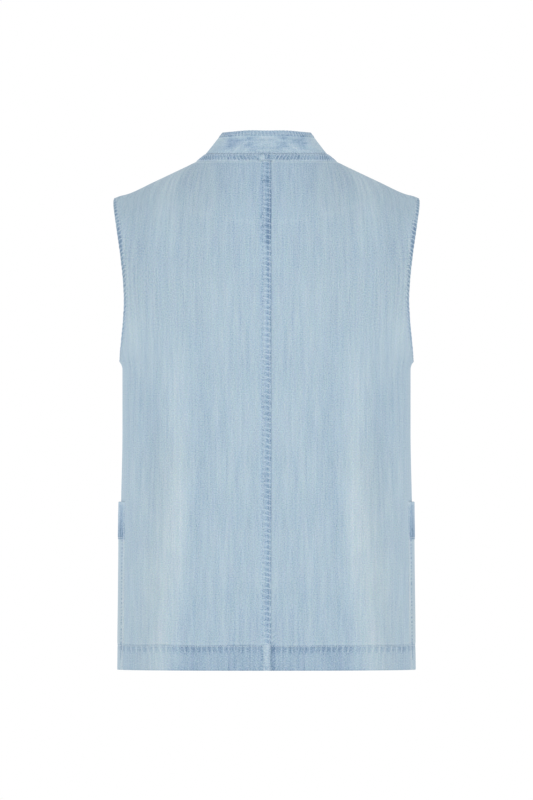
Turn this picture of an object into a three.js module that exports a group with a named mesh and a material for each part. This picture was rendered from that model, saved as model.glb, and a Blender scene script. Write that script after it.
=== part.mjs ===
// A sleeveless light denim vest, filled out as if worn but with no wearer inside.
// It has two backs joined by a felled centre seam, two fronts that lap at the centre
// front, a stand collar that leans in to the neck, a stitched band under the collar,
// and two patch pockets that wrap round the side seams.
//
// Millimetres, +Z up. The front faces -Y and the wearer's left is +X. The origin is
// midway between the shoulders, level with the middle of the shoulder lines.
import * as THREE from "three";

// Cloth and seams.
const WALL = 1.8; // denim, thickened for a solid
const SEAM_GAP = 0.3; // between pieces that meet
const NECK_GAP = 0.6; // the same round the neck, where the edges curve
const TURNING = 0.7; // how far a turned hem stands in from the plain cloth
const RELIEF = 0.5; // how far a stitched hem or fell stands out

// Heights.
const HEM_Z = -636.5;
const HEM_DEPTH = 32.5;
const POCKET_TOP_Z = -417;
const UNDERARM_Z = -235;
const TIP_Z = -25;
const NECK_Z = 33.2; // neck seam at the back and at the side of the neck
const FRONT_NECK_Z = -42; // neck seam at the centre front

// Widths, out from the middle.
const TIP_OUT = 199.2;
const NECK_OUT = 79.2;
const BACK_SEAM_X = -6; // the centre back seam lies to the wearer's right
const FELL_WIDTH = 10.5;
const LAP = 15; // each front passes the centre by this much
const LAP_FADE = 30; // the lapped cloth comes back to the form over this width
const LAP_STEP = 1.7; // the right front stands out by this and the left front in
const FRONT_BAND = 32; // stitched turning along each front edge
const ARMHOLE_HEM = 7;
const STEP = 1.2; // width over which a stitched edge drops to the plain cloth
const BAND_WALL = 1;
const BAND_STAND = 0.45; // clear of the cloth under it

// The form's level sections from the hem up: half width, and depth behind and before
// the side line. Between the underarm and the shoulder tip the sides are cut away.
const FORM = [
  { z: HEM_Z, half: 191.7, back: 123, front: 127 },
  { z: -530, half: 190.5, back: 121, front: 129 },
  { z: POCKET_TOP_Z, half: 189.6, back: 119, front: 132 },
  { z: -330, half: 188.0, back: 117, front: 136 },
  { z: -246, half: 188.0, back: 117.5, front: 139.5 },
  { z: UNDERARM_Z, half: 191.2, back: 118, front: 139.5 },
  { z: -195, half: 199.6, back: 119, front: 138 },
  { z: -143, half: 206.5, back: 119, front: 132 },
  { z: -91, half: 218, back: 115, front: 121 },
  { z: -39, half: 236, back: 107, front: 110 },
  { z: NECK_Z, half: 244, back: 86, front: 92 },
];
const SQUARENESS = 2.2; // exponent of a section, where 2 is an ellipse

// The shoulder line, from the neck point to the tip.
const SHOULDER_LINE = [
  { out: NECK_OUT, z: NECK_Z },
  { out: 84.6, z: 28.6 },
  { out: 91.2, z: 23.7 },
  { out: 96, z: 21.5 },
  { out: 102.6, z: 18.2 },
  { out: 124.4, z: 7.8 },
  { out: 146.5, z: -2.6 },
  { out: 180.3, z: -18.2 },
  { out: 193, z: -21.4 },
  { out: TIP_OUT, z: TIP_Z },
];
const CROWN_RISE = 40; // the line rises by this from the neck point to the middle
const BACK_ROUNDING = 135; // height over which the shoulder rounds down to the back
const FRONT_ROUNDING = 150;

// How far out the armhole edge lies at each height.
const BACK_ARMHOLE = [
  { z: UNDERARM_Z, out: 191.2 },
  { z: -229, out: 191.1 },
  { z: -208, out: 189.4 },
  { z: -182, out: 187.0 },
  { z: -156, out: 185.7 },
  { z: -130, out: 187.0 },
  { z: -104, out: 189.7 },
  { z: -78, out: 192.9 },
  { z: -52, out: 196.2 },
  { z: -36, out: 198.2 },
  { z: TIP_Z, out: TIP_OUT },
];
const FRONT_ARMHOLE = [
  { z: UNDERARM_Z, out: 191.2 },
  { z: -228, out: 189.5 },
  { z: -206, out: 184.0 },
  { z: -178, out: 177.5 },
  { z: -148, out: 174.5 },
  { z: -112, out: 177.5 },
  { z: -78, out: 184.0 },
  { z: -50, out: 191.5 },
  { z: -34, out: 196.5 },
  { z: TIP_Z, out: TIP_OUT },
];

// Soft upright folds. "out" is the distance from the middle at the top and at the
// foot of the fold, "rise" is how far it stands out, or in where it is below nought.
const BACK_FOLDS = [
  { top: -175, foot: HEM_Z, outTop: 112, outFoot: 138, width: 26, rise: 3.0 },
  { top: -215, foot: HEM_Z, outTop: 88, outFoot: 98, width: 22, rise: -2.6 },
  { top: -185, foot: -450, outTop: 160, outFoot: 152, width: 18, rise: -2.4 },
  { top: -260, foot: HEM_Z, outTop: 44, outFoot: 52, width: 26, rise: 1.3 },
  { top: -60, foot: -330, outTop: 66, outFoot: 58, width: 24, rise: -1.2 },
];
const FRONT_FOLDS = [
  { top: -210, foot: HEM_Z, outTop: 96, outFoot: 112, width: 28, rise: 3.4 },
  { top: -235, foot: HEM_Z, outTop: 66, outFoot: 72, width: 22, rise: -2.6 },
  { top: -200, foot: -460, outTop: 140, outFoot: 148, width: 20, rise: -2.4 },
  { top: -120, foot: -300, outTop: 60, outFoot: 52, width: 26, rise: 1.4 },
];
const FOLD_FADE = 90; // a fold grows and dies away over this height

// Collar.
const COLLAR_WALL = 2.4;
const COLLAR_WIDTH = 36;
const COLLAR_END_GAP = 2; // between the collar's two ends at the centre front
const COLLAR_CORNER = 14; // rounding of its front corners
const COLLAR_EDGE = 6; // stitched margin along its top edge
// How far the collar leans in from upright, round half of the neck.
const COLLAR_LEAN = [
  { part: 0, degrees: 31 },
  { part: 0.42, degrees: 38 },
  { part: 0.7, degrees: 36 },
  { part: 1, degrees: 33 },
];

// Pockets.
const POCKET_HEM = 48;
const POCKET_SLACK = 1.3; // how far the mouth stands off the front

const FACES = {
  back: {
    toward: 1,
    depth: "back",
    rounding: BACK_ROUNDING,
    armhole: BACK_ARMHOLE,
    folds: BACK_FOLDS,
    tipInnerZ: TIP_Z,
    neckInnerZ: NECK_Z,
    level: true,
  },
  front: {
    toward: -1,
    depth: "front",
    rounding: FRONT_ROUNDING,
    armhole: FRONT_ARMHOLE,
    folds: FRONT_FOLDS,
    tipInnerZ: -96,
    neckInnerZ: FRONT_NECK_Z,
    level: false,
  },
};

const mix = (a, b, t) => a + (b - a) * t;
const clamp = (t, low, high) => Math.min(Math.max(t, low), high);
const smooth = (t) => {
  const u = clamp(t, 0, 1);
  return u * u * (3 - 2 * u);
};

// A column of a table, read by a cubic that never overshoots its rows.
function read(table, key, column, at) {
  const last = table.length - 1;
  const x = clamp(at, table[0][key], table[last][key]);
  const secant = (k) =>
    (table[k + 1][column] - table[k][column]) / (table[k + 1][key] - table[k][key]);
  const slope = (k) => {
    if (k === 0) return secant(0);
    if (k === last) return secant(last - 1);
    const before = secant(k - 1);
    const after = secant(k);
    return before * after > 0 ? (2 * before * after) / (before + after) : 0;
  };
  let i = 0;
  while (i < last - 1 && x > table[i + 1][key]) i++;
  const span = table[i + 1][key] - table[i][key];
  const u = (x - table[i][key]) / span;
  const rise = table[i + 1][column] - table[i][column];
  const bend = u * u * (3 - 2 * u);
  return (
    table[i][column] +
    rise * bend +
    span * u * (1 - u) * ((1 - u) * slope(i) - u * slope(i + 1))
  );
}

// Height of the shoulder line at a distance out from the middle. Inside the neck it
// goes on as a crown, so that the cloth below the collar keeps its roundness.
function shoulderZ(out) {
  if (out >= NECK_OUT) return read(SHOULDER_LINE, "out", "z", out);
  return NECK_Z + CROWN_RISE * (1 - (out / NECK_OUT) ** 2);
}

// How far the form lies behind or before the side line, at (x, z).
function depthAt(face, x, z) {
  const out = Math.abs(x);
  const reach = clamp(out / read(FORM, "z", "half", z), 0, 1);
  const section = (1 - reach ** SQUARENESS) ** (1 / SQUARENESS);
  const below = clamp((shoulderZ(out) - z) / face.rounding, 0, 1);
  const rounding = Math.sqrt(1 - (1 - below) ** 2);
  return face.toward * read(FORM, "z", face.depth, z) * section * rounding;
}

// A row of cloth at v: 0 is the hem, 1 the underarm, 2 the shoulder tip, 3 the neck
// seam. It gives the row's height at the middle and at its outer end, and how far out
// that end lies.
function rowAt(face, v) {
  if (v <= 1) {
    const z = mix(HEM_Z, UNDERARM_Z, v);
    return { inner: z, outer: z, out: read(FORM, "z", "half", z) };
  }
  if (v <= 2) {
    const part = v - 1;
    const outer = mix(UNDERARM_Z, TIP_Z, (1 - Math.cos(Math.PI * part)) / 2);
    const inner = mix(UNDERARM_Z, face.tipInnerZ, part);
    return { inner, outer, out: read(face.armhole, "z", "out", outer) };
  }
  const part = v - 2;
  const out = mix(TIP_OUT, NECK_OUT, part);
  const outer = shoulderZ(out);
  const inner = face.level ? outer : mix(face.tipInnerZ, face.neckInnerZ, part);
  return { inner, outer, out };
}

const ROW_SAMPLES = 160;
const ROW_START = -0.22; // the row is sampled from a little past the middle
const ROW_LIFT = 2.4; // exponent that carries a row from its middle to its end
const curves = new Map();

// The row's own line on the form with its running length from the middle, for the
// side of +X.
function rowCurve(face, v) {
  const key = face.depth + v.toFixed(6);
  if (curves.has(key)) return curves.get(key);
  const row = rowAt(face, v);
  const points = [];
  const run = [];
  for (let k = 0; k <= ROW_SAMPLES; k++) {
    const turn = mix(ROW_START, Math.PI / 2, k / ROW_SAMPLES);
    const x = row.out * Math.sin(turn);
    const lift = (Math.abs(x) / row.out) ** ROW_LIFT;
    const z = mix(row.inner, row.outer, lift);
    points.push(new THREE.Vector3(x, depthAt(face, x, z), z));
    run.push(k === 0 ? 0 : run[k - 1] + points[k].distanceTo(points[k - 1]));
  }
  let middle = 0;
  while (points[middle + 1].x < 0) middle++;
  const share = -points[middle].x / (points[middle + 1].x - points[middle].x);
  const zero = mix(run[middle], run[middle + 1], share);
  const curve = { points, run: run.map((r) => r - zero) };
  curves.set(key, curve);
  return curve;
}

const rowLength = (face, v) => rowCurve(face, v).run[ROW_SAMPLES];

// The point of the form at row v, at a distance along the row from the middle.
function formPoint(face, v, along) {
  const { points, run } = rowCurve(face, v);
  let k = 0;
  while (k < ROW_SAMPLES - 1 && run[k + 1] < along) k++;
  const share = (along - run[k]) / (run[k + 1] - run[k]);
  return points[k].clone().lerp(points[k + 1], share);
}

// A fold's rise at a place on the cloth, as soft bell shapes across and up.
function foldRise(face, x, z) {
  let rise = 0;
  for (const fold of face.folds) {
    const down = (fold.top - z) / (fold.top - fold.foot);
    const centre = mix(fold.outTop, fold.outFoot, clamp(down, 0, 1));
    const across = Math.exp(-(((Math.abs(x) - centre) / fold.width) ** 2));
    const grown = smooth((fold.top + FOLD_FADE / 2 - z) / FOLD_FADE);
    const fades = fold.foot > HEM_Z ? smooth((z - fold.foot) / FOLD_FADE) : 1;
    rise += fold.rise * across * grown * fades;
  }
  return rise;
}

// The faces meet below the underarm and along the shoulder line. There, a distance past
// the end of a row goes on round the other face.
const otherFace = (face) => (face === FACES.back ? FACES.front : FACES.back);
const isJoined = (v) => v <= 1 || v >= 2;

function onForm(face, v, along) {
  const length = rowLength(face, v);
  if (along <= length) return formPoint(face, v, along);
  if (!isJoined(v)) return formPoint(face, v, length);
  const other = otherFace(face);
  return formPoint(other, v, length + rowLength(other, v) - along);
}

// A place on the cloth with its outward normal and the folds put in, for the +X side.
const PROBE_V = 0.004;
const PROBE_MM = 1.5;
function clothPoint(face, v, along) {
  const length = rowLength(face, v);
  if (isJoined(v) && along > length) {
    const other = otherFace(face);
    return clothPoint(other, v, length + rowLength(other, v) - along);
  }
  const low = Math.max(v - PROBE_V, 0);
  const high = Math.min(v + PROBE_V, 3);
  const base = formPoint(face, v, along);
  const acrossRow = onForm(face, v, along + PROBE_MM).sub(onForm(face, v, along - PROBE_MM));
  const share = along / length;
  const upRow = formPoint(face, high, share * rowLength(face, high)).sub(
    formPoint(face, low, share * rowLength(face, low)),
  );
  const normal = acrossRow.cross(upRow).normalize();
  if (normal.dot(new THREE.Vector3(base.x, base.y, 80)) < 0) normal.negate();
  base.addScaledVector(normal, foldRise(face, base.x, base.z));
  return { point: base, normal };
}

// A closed wall over a grid of places. "outer" and "inner" give how far its two skins
// lie from each place, along the normal.
function wall(grid, outer, inner) {
  const rows = grid.length;
  const columns = grid[0].length;
  const positions = [];
  const skin = (lift) =>
    grid.forEach((line, i) =>
      line.forEach(({ point, normal }, j) =>
        positions.push(...point.clone().addScaledVector(normal, lift(i, j)).toArray()),
      ),
    );
  skin(outer);
  skin(inner);
  const under = rows * columns;
  const index = [];
  const quad = (a, b, c, d) => index.push(a, b, c, a, c, d);
  for (let i = 0; i + 1 < rows; i++) {
    for (let j = 0; j + 1 < columns; j++) {
      const a = i * columns + j;
      quad(a, a + 1, a + columns + 1, a + columns);
      quad(under + a, under + a + columns, under + a + columns + 1, under + a + 1);
    }
  }
  const rim = (a, b) => quad(a, under + a, under + b, b);
  for (let j = 0; j + 1 < columns; j++) {
    rim(j, j + 1);
    rim((rows - 1) * columns + j + 1, (rows - 1) * columns + j);
  }
  for (let i = 0; i + 1 < rows; i++) {
    rim((i + 1) * columns, i * columns);
    rim(i * columns + columns - 1, (i + 1) * columns + columns - 1);
  }
  const geometry = new THREE.BufferGeometry();
  geometry.setAttribute("position", new THREE.Float32BufferAttribute(positions, 3));
  geometry.setIndex(faceOut(positions, index));
  geometry.computeVertexNormals();
  return geometry;
}

// Turns every face round where the wall would enclose a negative volume.
function faceOut(positions, index) {
  const at = (k) => new THREE.Vector3().fromArray(positions, 3 * k);
  let volume = 0;
  for (let k = 0; k < index.length; k += 3) {
    volume += at(index[k]).dot(at(index[k + 1]).cross(at(index[k + 2])));
  }
  if (volume > 0) return index;
  for (let k = 0; k < index.length; k += 3) {
    [index[k + 1], index[k + 2]] = [index[k + 2], index[k + 1]];
  }
  return index;
}

// Mirrors a place to the wearer's right where side is -1.
function toSide({ point, normal }, side) {
  const turn = new THREE.Vector3(side, 1, 1);
  return { point: point.multiply(turn), normal: normal.multiply(turn) };
}

// Even steps from a to b, both ends included.
const steps = (a, b, count) => Array.from({ length: count + 1 }, (_, k) => mix(a, b, k / count));
const lowerV = (z) => (z - HEM_Z) / (UNDERARM_Z - HEM_Z);
const neckV = (out) => 2 + (TIP_OUT - out) / (TIP_OUT - NECK_OUT);

// Heights that the hem and the pocket share with the panels under them.
const HEM_ROWS = [0, HEM_DEPTH - STEP, HEM_DEPTH].map((up) => lowerV(HEM_Z + up));
const POCKET_FOOT_ROWS = steps(HEM_Z + 72, POCKET_TOP_Z - POCKET_HEM, 3).map(lowerV);
const POCKET_MOUTH_ROWS = steps(POCKET_TOP_Z - POCKET_HEM / 2, POCKET_TOP_Z, 1).map(lowerV);
const POCKET_ROWS = [...HEM_ROWS, ...POCKET_FOOT_ROWS, ...POCKET_MOUTH_ROWS];
const BAND_ROWS = [neckV(91.2), neckV(85), 3];

// The rows that a back or a front is built on, closer together where it bends more.
const PANEL_ROWS = [
  ...POCKET_ROWS,
  ...[-382, -342, -302, -266, -247].map(lowerV),
  ...steps(1, 2, 11),
  ...steps(2.13, 2.8, 5),
  ...BAND_ROWS,
];

// The panels. "start" is where the inner edge lies along each row, "band" the width of
// the stitched margin there, and "lap" lifts or lowers that margin. "shares" places
// the columns between the two margins, and a pocket's edge follows one of them.
const half = SEAM_GAP / 2;
const BACK_SHARES = [0.1, 0.2, 0.3, 0.4, 0.5, 0.6, 0.7, 0.8, 0.89];
const FRONT_SHARES = [0.12, 0.24, 0.355, 0.47, 0.58, 0.68, 0.77, 0.86, 0.94];
const POCKET_BACK_COLUMN = -4; // counted from the side seam
const POCKET_FRONT_COLUMN = -10;
const PANELS = {
  back_left: {
    face: FACES.back,
    side: 1,
    start: BACK_SEAM_X + half,
    band: FELL_WIDTH,
    lap: 0,
    shares: BACK_SHARES,
  },
  back_right: {
    face: FACES.back,
    side: -1,
    start: half - BACK_SEAM_X,
    band: 0,
    lap: 0,
    shares: BACK_SHARES,
  },
  front_left: {
    face: FACES.front,
    side: 1,
    start: -LAP,
    band: FRONT_BAND,
    lap: -LAP_STEP,
    shares: FRONT_SHARES,
  },
  front_right: {
    face: FACES.front,
    side: -1,
    start: -LAP,
    band: FRONT_BAND,
    lap: LAP_STEP,
    shares: FRONT_SHARES,
  },
};
// Where a panel's columns lie along its row v. A front has one on the centre line.
function columns({ face, start, band, shares }, v) {
  const length = rowLength(face, v);
  const end = v > 1 && v < 2 ? length : length - half;
  const marginEnd = start + (band || ARMHOLE_HEM);
  const first = marginEnd + STEP;
  const last = end - ARMHOLE_HEM - STEP;
  const middle = shares.map((share) => mix(first, last, share));
  const margin = face === FACES.front ? [start, 0] : [start];
  return [...margin, marginEnd, first, ...middle, last, end - ARMHOLE_HEM, end];
}

// Stitched relief over a turned edge: full within its width, and gone a step later.
const relief = (distance, width) => RELIEF * (1 - smooth((distance - width) / STEP));

function panel(spec) {
  const { face, side, start, band, lap } = spec;
  const places = PANEL_ROWS.map((v) => columns(spec, v));
  const grid = places.map((line, i) =>
    line.map((along) => toSide(clothPoint(face, PANEL_ROWS[i], along), side)),
  );
  const lift = (i, j) => lap * (1 - smooth((places[i][j] - LAP) / LAP_FADE));
  const isHem = (i) => PANEL_ROWS[i] < HEM_ROWS[2];
  const outer = (i, j) => {
    const v = PANEL_ROWS[i];
    const along = places[i][j];
    const edge = band ? relief(along - start, band) : 0;
    const armhole = v >= 1 && v <= 2 ? relief(places[i].at(-1) - along, ARMHOLE_HEM) : 0;
    return lift(i, j) + Math.max(edge, armhole, isHem(i) ? RELIEF : 0);
  };
  const inner = (i, j) => lift(i, j) - WALL - (isHem(i) ? TURNING : 0);
  return wall(grid, outer, inner);
}

// The stations of a ring round the neck at row v, from the centre front on the
// wearer's right round the back to the centre front on the left. They lie on the
// panels' own columns. "part" is 0 at the centre back and 1 at the centre front.
function neckStations(v, endGap) {
  const backLength = rowLength(FACES.back, v);
  const total = backLength + rowLength(FACES.front, v);
  const stations = (name) => {
    const spec = PANELS[name];
    const isBack = spec.face === FACES.back;
    const inside = columns(spec, v).filter((along) => isBack || along > LAP);
    return (isBack ? inside : [endGap, ...inside]).map((along) => ({
      spec,
      along,
      part: (isBack ? along : total - along) / total,
    }));
  };
  return [
    ...stations("front_right").slice(0, -1),
    ...stations("back_right").reverse(),
    ...stations("back_left"),
    ...stations("front_left").slice(0, -1).reverse(),
  ];
}

const atStation = (v, { spec, along }) => toSide(clothPoint(spec.face, v, along), spec.side);

function neckBand() {
  const stations = BAND_ROWS.map((v) => neckStations(v, LAP / 2));
  const grid = stations.map((round, i) => {
    const v = i < 2 ? BAND_ROWS[i] : BAND_ROWS[i] - half / (TIP_OUT - NECK_OUT);
    return round.map((station) => atStation(v, station));
  });
  const stand = (j) => {
    const { spec, along } = stations[2][j];
    const under = spec.band ? relief(along - spec.start, spec.band) : 0;
    const lapped = spec.lap ? 1 - smooth((along - LAP) / LAP_FADE) : 0;
    return under + BAND_STAND + LAP_STEP * lapped;
  };
  return wall(
    grid,
    (i, j) => stand(j) + BAND_WALL,
    (i, j) => stand(j),
  );
}

// The collar's cross direction at a station: square to the seam, and leaning in from
// upright. Its own outward normal is square to both.
const COLLAR_PROBE = 3;
function collarFrame({ spec: { face, side }, along, part }) {
  const { point: here, normal: seamNormal } = clothPoint(face, 3, along);
  const ahead = clothPoint(face, 3, along + COLLAR_PROBE).point;
  const behind = clothPoint(face, 3, along - COLLAR_PROBE).point;
  const tangent = ahead.sub(behind).normalize();
  if (face === FACES.front) tangent.negate();
  const inward = tangent.clone().cross(new THREE.Vector3(0, 0, 1)).normalize();
  const up = inward.clone().cross(tangent).normalize();
  const lean = THREE.MathUtils.degToRad(read(COLLAR_LEAN, "part", "degrees", part));
  const rise = up.clone().multiplyScalar(Math.cos(lean)).addScaledVector(inward, Math.sin(lean));
  const normal = up.multiplyScalar(Math.sin(lean)).addScaledVector(inward, -Math.cos(lean));
  return { here, seamNormal, rise, normal, side };
}

function collar() {
  const seamHalf = rowLength(FACES.back, 3) + rowLength(FACES.front, 3);
  const heights = [0, 0.3, 0.6, 1 - COLLAR_EDGE / COLLAR_WIDTH, 1];
  const stations = neckStations(3, COLLAR_END_GAP / 2);
  const grid = heights.map((height) =>
    stations.map((station) => {
      const { here, seamNormal, rise, normal, side } = collarFrame(station);
      const fromEnd = (1 - station.part) * seamHalf - COLLAR_END_GAP / 2;
      const corner = clamp(1 - fromEnd / COLLAR_CORNER, 0, 1);
      const cut = COLLAR_CORNER * (1 - Math.sqrt(1 - corner ** 2)) * 0.8;
      const point = here.addScaledVector(rise, NECK_GAP + (COLLAR_WIDTH - cut) * height);
      return toSide({ point, normal: height === 0 ? seamNormal : normal }, side);
    }),
  );
  const edge = (i) => (i >= heights.length - 2 ? RELIEF / 2 : 0);
  return wall(
    grid,
    (i) => edge(i),
    (i) => (i === 0 ? -WALL : -COLLAR_WALL - edge(i)),
  );
}

// A patch pocket with a deep stitched hem at its mouth, on the front and round the
// side seam. It is made from the points that it lies on, moved out.
function pocket(end) {
  const back = PANELS["back_" + end];
  const front = PANELS["front_" + end];
  const grid = POCKET_ROWS.map((v) => {
    const behind = columns(back, v).slice(POCKET_BACK_COLUMN, -1);
    const before = columns(front, v).slice(POCKET_FRONT_COLUMN, -1);
    const seam = { face: FACES.front, along: rowLength(FACES.front, v) };
    return [
      ...behind.map((along) => ({ face: FACES.back, along })),
      seam,
      ...before.reverse().map((along) => ({ face: FACES.front, along })),
    ].map(({ face, along }) => toSide(clothPoint(face, v, along), front.side));
  });
  const last = grid[0].length - 1;
  const footV = HEM_ROWS[2];
  const mouthV = lowerV(POCKET_TOP_Z);
  const stand = (i, j) => {
    const height = smooth((POCKET_ROWS[i] - footV) / (mouthV - footV));
    const width = Math.sin((Math.PI * j) / last);
    return RELIEF + SEAM_GAP + POCKET_SLACK * width * height;
  };
  const isMouth = (i) => POCKET_ROWS[i] > lowerV(POCKET_TOP_Z - POCKET_HEM - STEP);
  return wall(
    grid,
    (i, j) => stand(i, j) + WALL + (isMouth(i) ? RELIEF : 0),
    (i, j) => stand(i, j),
  );
}

const denim = (hex) =>
  new THREE.MeshStandardMaterial({ color: hex, roughness: 0.92, metalness: 0 });
const bodyCloth = denim(0xaec3d1);
const seamCloth = denim(0x99aec1);
const collarCloth = denim(0xa9bdcf);

const vest = new THREE.Group();
function add(name, geometry, material) {
  const mesh = new THREE.Mesh(geometry, material);
  mesh.name = name;
  vest.add(mesh);
}

for (const [name, spec] of Object.entries(PANELS)) add(name, panel(spec), bodyCloth);
add("neck_band", neckBand(), seamCloth);
add("collar", collar(), collarCloth);
add("pocket_left", pocket("left"), bodyCloth);
add("pocket_right", pocket("right"), bodyCloth);

export default vest;
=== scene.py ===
"""A sleeveless vest in light washed denim, filled out as if worn, with no wearer inside.

Each maker's piece is a thin closed shell of cloth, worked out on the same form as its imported
solid, with its turned hems, puckered stitching and soft folds. Lengths are in millimetres in
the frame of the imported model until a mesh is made: +Z up, the front towards -Y and the
wearer's left towards +X.
"""

import logging
from collections.abc import Iterable
from dataclasses import dataclass, field
from enum import Enum
from typing import Any, NamedTuple

import bpy
import numpy as np
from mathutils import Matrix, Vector

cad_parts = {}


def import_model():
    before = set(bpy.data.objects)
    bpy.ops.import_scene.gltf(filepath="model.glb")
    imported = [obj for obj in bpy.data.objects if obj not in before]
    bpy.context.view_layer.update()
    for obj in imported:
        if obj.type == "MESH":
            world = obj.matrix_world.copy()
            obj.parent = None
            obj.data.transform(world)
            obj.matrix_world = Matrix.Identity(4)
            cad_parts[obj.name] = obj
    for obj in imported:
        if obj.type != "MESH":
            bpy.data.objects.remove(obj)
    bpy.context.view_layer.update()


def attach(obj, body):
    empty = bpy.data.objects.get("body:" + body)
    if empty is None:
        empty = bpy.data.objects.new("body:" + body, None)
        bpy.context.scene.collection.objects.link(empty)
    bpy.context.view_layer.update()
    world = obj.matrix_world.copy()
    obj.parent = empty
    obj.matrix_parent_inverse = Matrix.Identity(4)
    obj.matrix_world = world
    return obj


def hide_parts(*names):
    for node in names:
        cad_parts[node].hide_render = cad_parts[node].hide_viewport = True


LOG = logging.getLogger("denim_vest")
MM = 0.001

# A single number or a whole grid of them, and the rows of a table.
Values = float | np.ndarray
Table = tuple[tuple[float, ...], ...]

# Heights that the solids share, and how deep the two hems are.
HEM_Z = -636.5
HEM_DEPTH = 32.5
POCKET_TOP_Z = -418.2
POCKET_HEM = 48.0
UNDERARM_Z = -235.0
TIP_Z = -24.4
NECK_Z = 33.2
FRONT_NECK_Z = -42.0
FRONT_TIP_Z = -96.0
# How far out the shoulder's tip, the neck and the neck band's foot lie, and the place of
# the back seam.
TIP_OUT = 197.9
NECK_OUT = 79.2
BAND_FOOT_OUT = 91.2
BACK_SEAM_X = -6.0
# Widths of the fell, the front turning and the armhole hem, and the step beside them.
FELL_WIDTH = 10.5
FRONT_BAND = 32.0
ARMHOLE_HEM = 9.0
STEP = 1.2
# The fronts lap by this much, part by this much, and meet again over this distance.
LAP = 15.0
LAP_STEP = 1.7
LAP_FADE = 30.0
# The gap between two panels, the rise of a turned hem, and the wall of cloth.
SEAM_GAP = 0.12
RELIEF = 0.5
CLOTH = 1.1
# The form: how square it is in plan, how its crown rises inside the neck, how its rows
# bend up to the shoulder, and how far out their heights are measured.
SQUARENESS = 2.2
CROWN_RISE = 40.0
ROW_LIFT = 2.4
SPINE_OUT = 60.0
# Folds fade in and out over this length.
FOLD_FADE = 90.0
# Lengths that a panel's grid is counted from: up the armhole, from the shoulder's tip to
# the neck, and across between the fine margins.
ARMHOLE_RISE = 210
SHOULDER_RISE = 62
OPEN_WIDTH = 238
# How far in from their edges the rows of stitches lie: the bottom hem's, the pocket
# mouth's, the armhole's, the back's side seam's, the fell's and the front turning's.
HEM_STITCHES = 31.2
MOUTH_STITCHES = 46.6
ARMHOLE_STITCHES = 8.1
SIDE_STITCHES = 3.0
FELL_STITCHES = (1.7, 8.9)
FRONT_STITCHES = (1.6, 30.4)
# Where dark tongues of dye begin, beside the stitches of the hem and the mouth.
HEM_ROOTS = 31.6
MOUTH_ROOTS = 46.4
# The grid of a panel and of a pocket is fine from the hem's fold up to here.
FINE_HEM = 36.0
# Where the middle of a row of dye cells lies in the seam map.
CELL_ROW = 1.13


class Section(NamedTuple):
    """A level section of the form: half its width, and its depth behind and before."""

    z: float
    half: float
    back: float
    front: float


class Fold(NamedTuple):
    """A soft upright fold: its ends, how far out they lie, its width and its rise."""

    top: float
    foot: float
    out_top: float
    out_foot: float
    width: float
    rise: float


class Stain(NamedTuple):
    """A spot of dye: how far out and high it lies, its half sizes and its depth."""

    far: float
    high: float
    wide: float
    tall: float
    depth: float


FORM: tuple[Section, ...] = (
    Section(HEM_Z, 191.7, 123, 127),
    Section(-530, 190.5, 121, 129),
    Section(-417, 189.6, 119, 132),
    Section(-330, 188.0, 117, 136),
    Section(-246, 188.0, 117.5, 139.5),
    Section(UNDERARM_Z, 191.2, 118, 139.5),
    Section(-195, 199.6, 119, 138),
    Section(-143, 206.5, 119, 132),
    Section(-91, 218, 115, 121),
    Section(-39, 236, 107, 110),
    Section(NECK_Z, 244, 86, 92),
)
# Out from the middle, and height.
SHOULDER_LINE: tuple[tuple[float, float], ...] = (
    (NECK_OUT, NECK_Z),
    (84.6, 28.6),
    (91.2, 23.7),
    (96, 21.5),
    (102.6, 18.2),
    (124.4, 7.8),
    (146.5, -2.6),
    (180.3, -18.2),
    (193, -21.6),
    (TIP_OUT, TIP_Z),
)
# Height, and how far out the armhole edge lies.
BACK_ARMHOLE: tuple[tuple[float, float], ...] = (
    (UNDERARM_Z, 191.2),
    (-229, 191.1),
    (-208, 189.4),
    (-182, 187.0),
    (-156, 185.7),
    (-130, 187.0),
    (-104, 189.7),
    (-78, 192.9),
    (-52, 196.4),
    (-36, 198.6),
    (-29, 199.0),
    (-26, 198.7),
    (TIP_Z, TIP_OUT),
)
FRONT_ARMHOLE: tuple[tuple[float, float], ...] = (
    (UNDERARM_Z, 191.2),
    (-228, 189.5),
    (-206, 184.0),
    (-178, 177.5),
    (-148, 174.5),
    (-112, 177.5),
    (-78, 184.0),
    (-50, 191.5),
    (-35, 197.2),
    (-29, 198.6),
    (-26, 198.6),
    (TIP_Z, TIP_OUT),
)
BACK_FOLDS: tuple[Fold, ...] = (
    Fold(-175, HEM_Z, 112, 138, 26, 3.0),
    Fold(-215, HEM_Z, 88, 98, 22, -2.6),
    Fold(-185, -450, 160, 152, 18, -2.4),
    Fold(-260, HEM_Z, 44, 52, 26, 1.3),
    Fold(-60, -330, 66, 58, 24, -1.2),
)
FRONT_FOLDS: tuple[Fold, ...] = (
    Fold(-210, HEM_Z, 96, 112, 28, 3.4),
    Fold(-235, HEM_Z, 66, 72, 22, -2.6),
    Fold(-200, -460, 140, 148, 20, -2.4),
    Fold(-120, -300, 60, 52, 26, 1.4),
)
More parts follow.
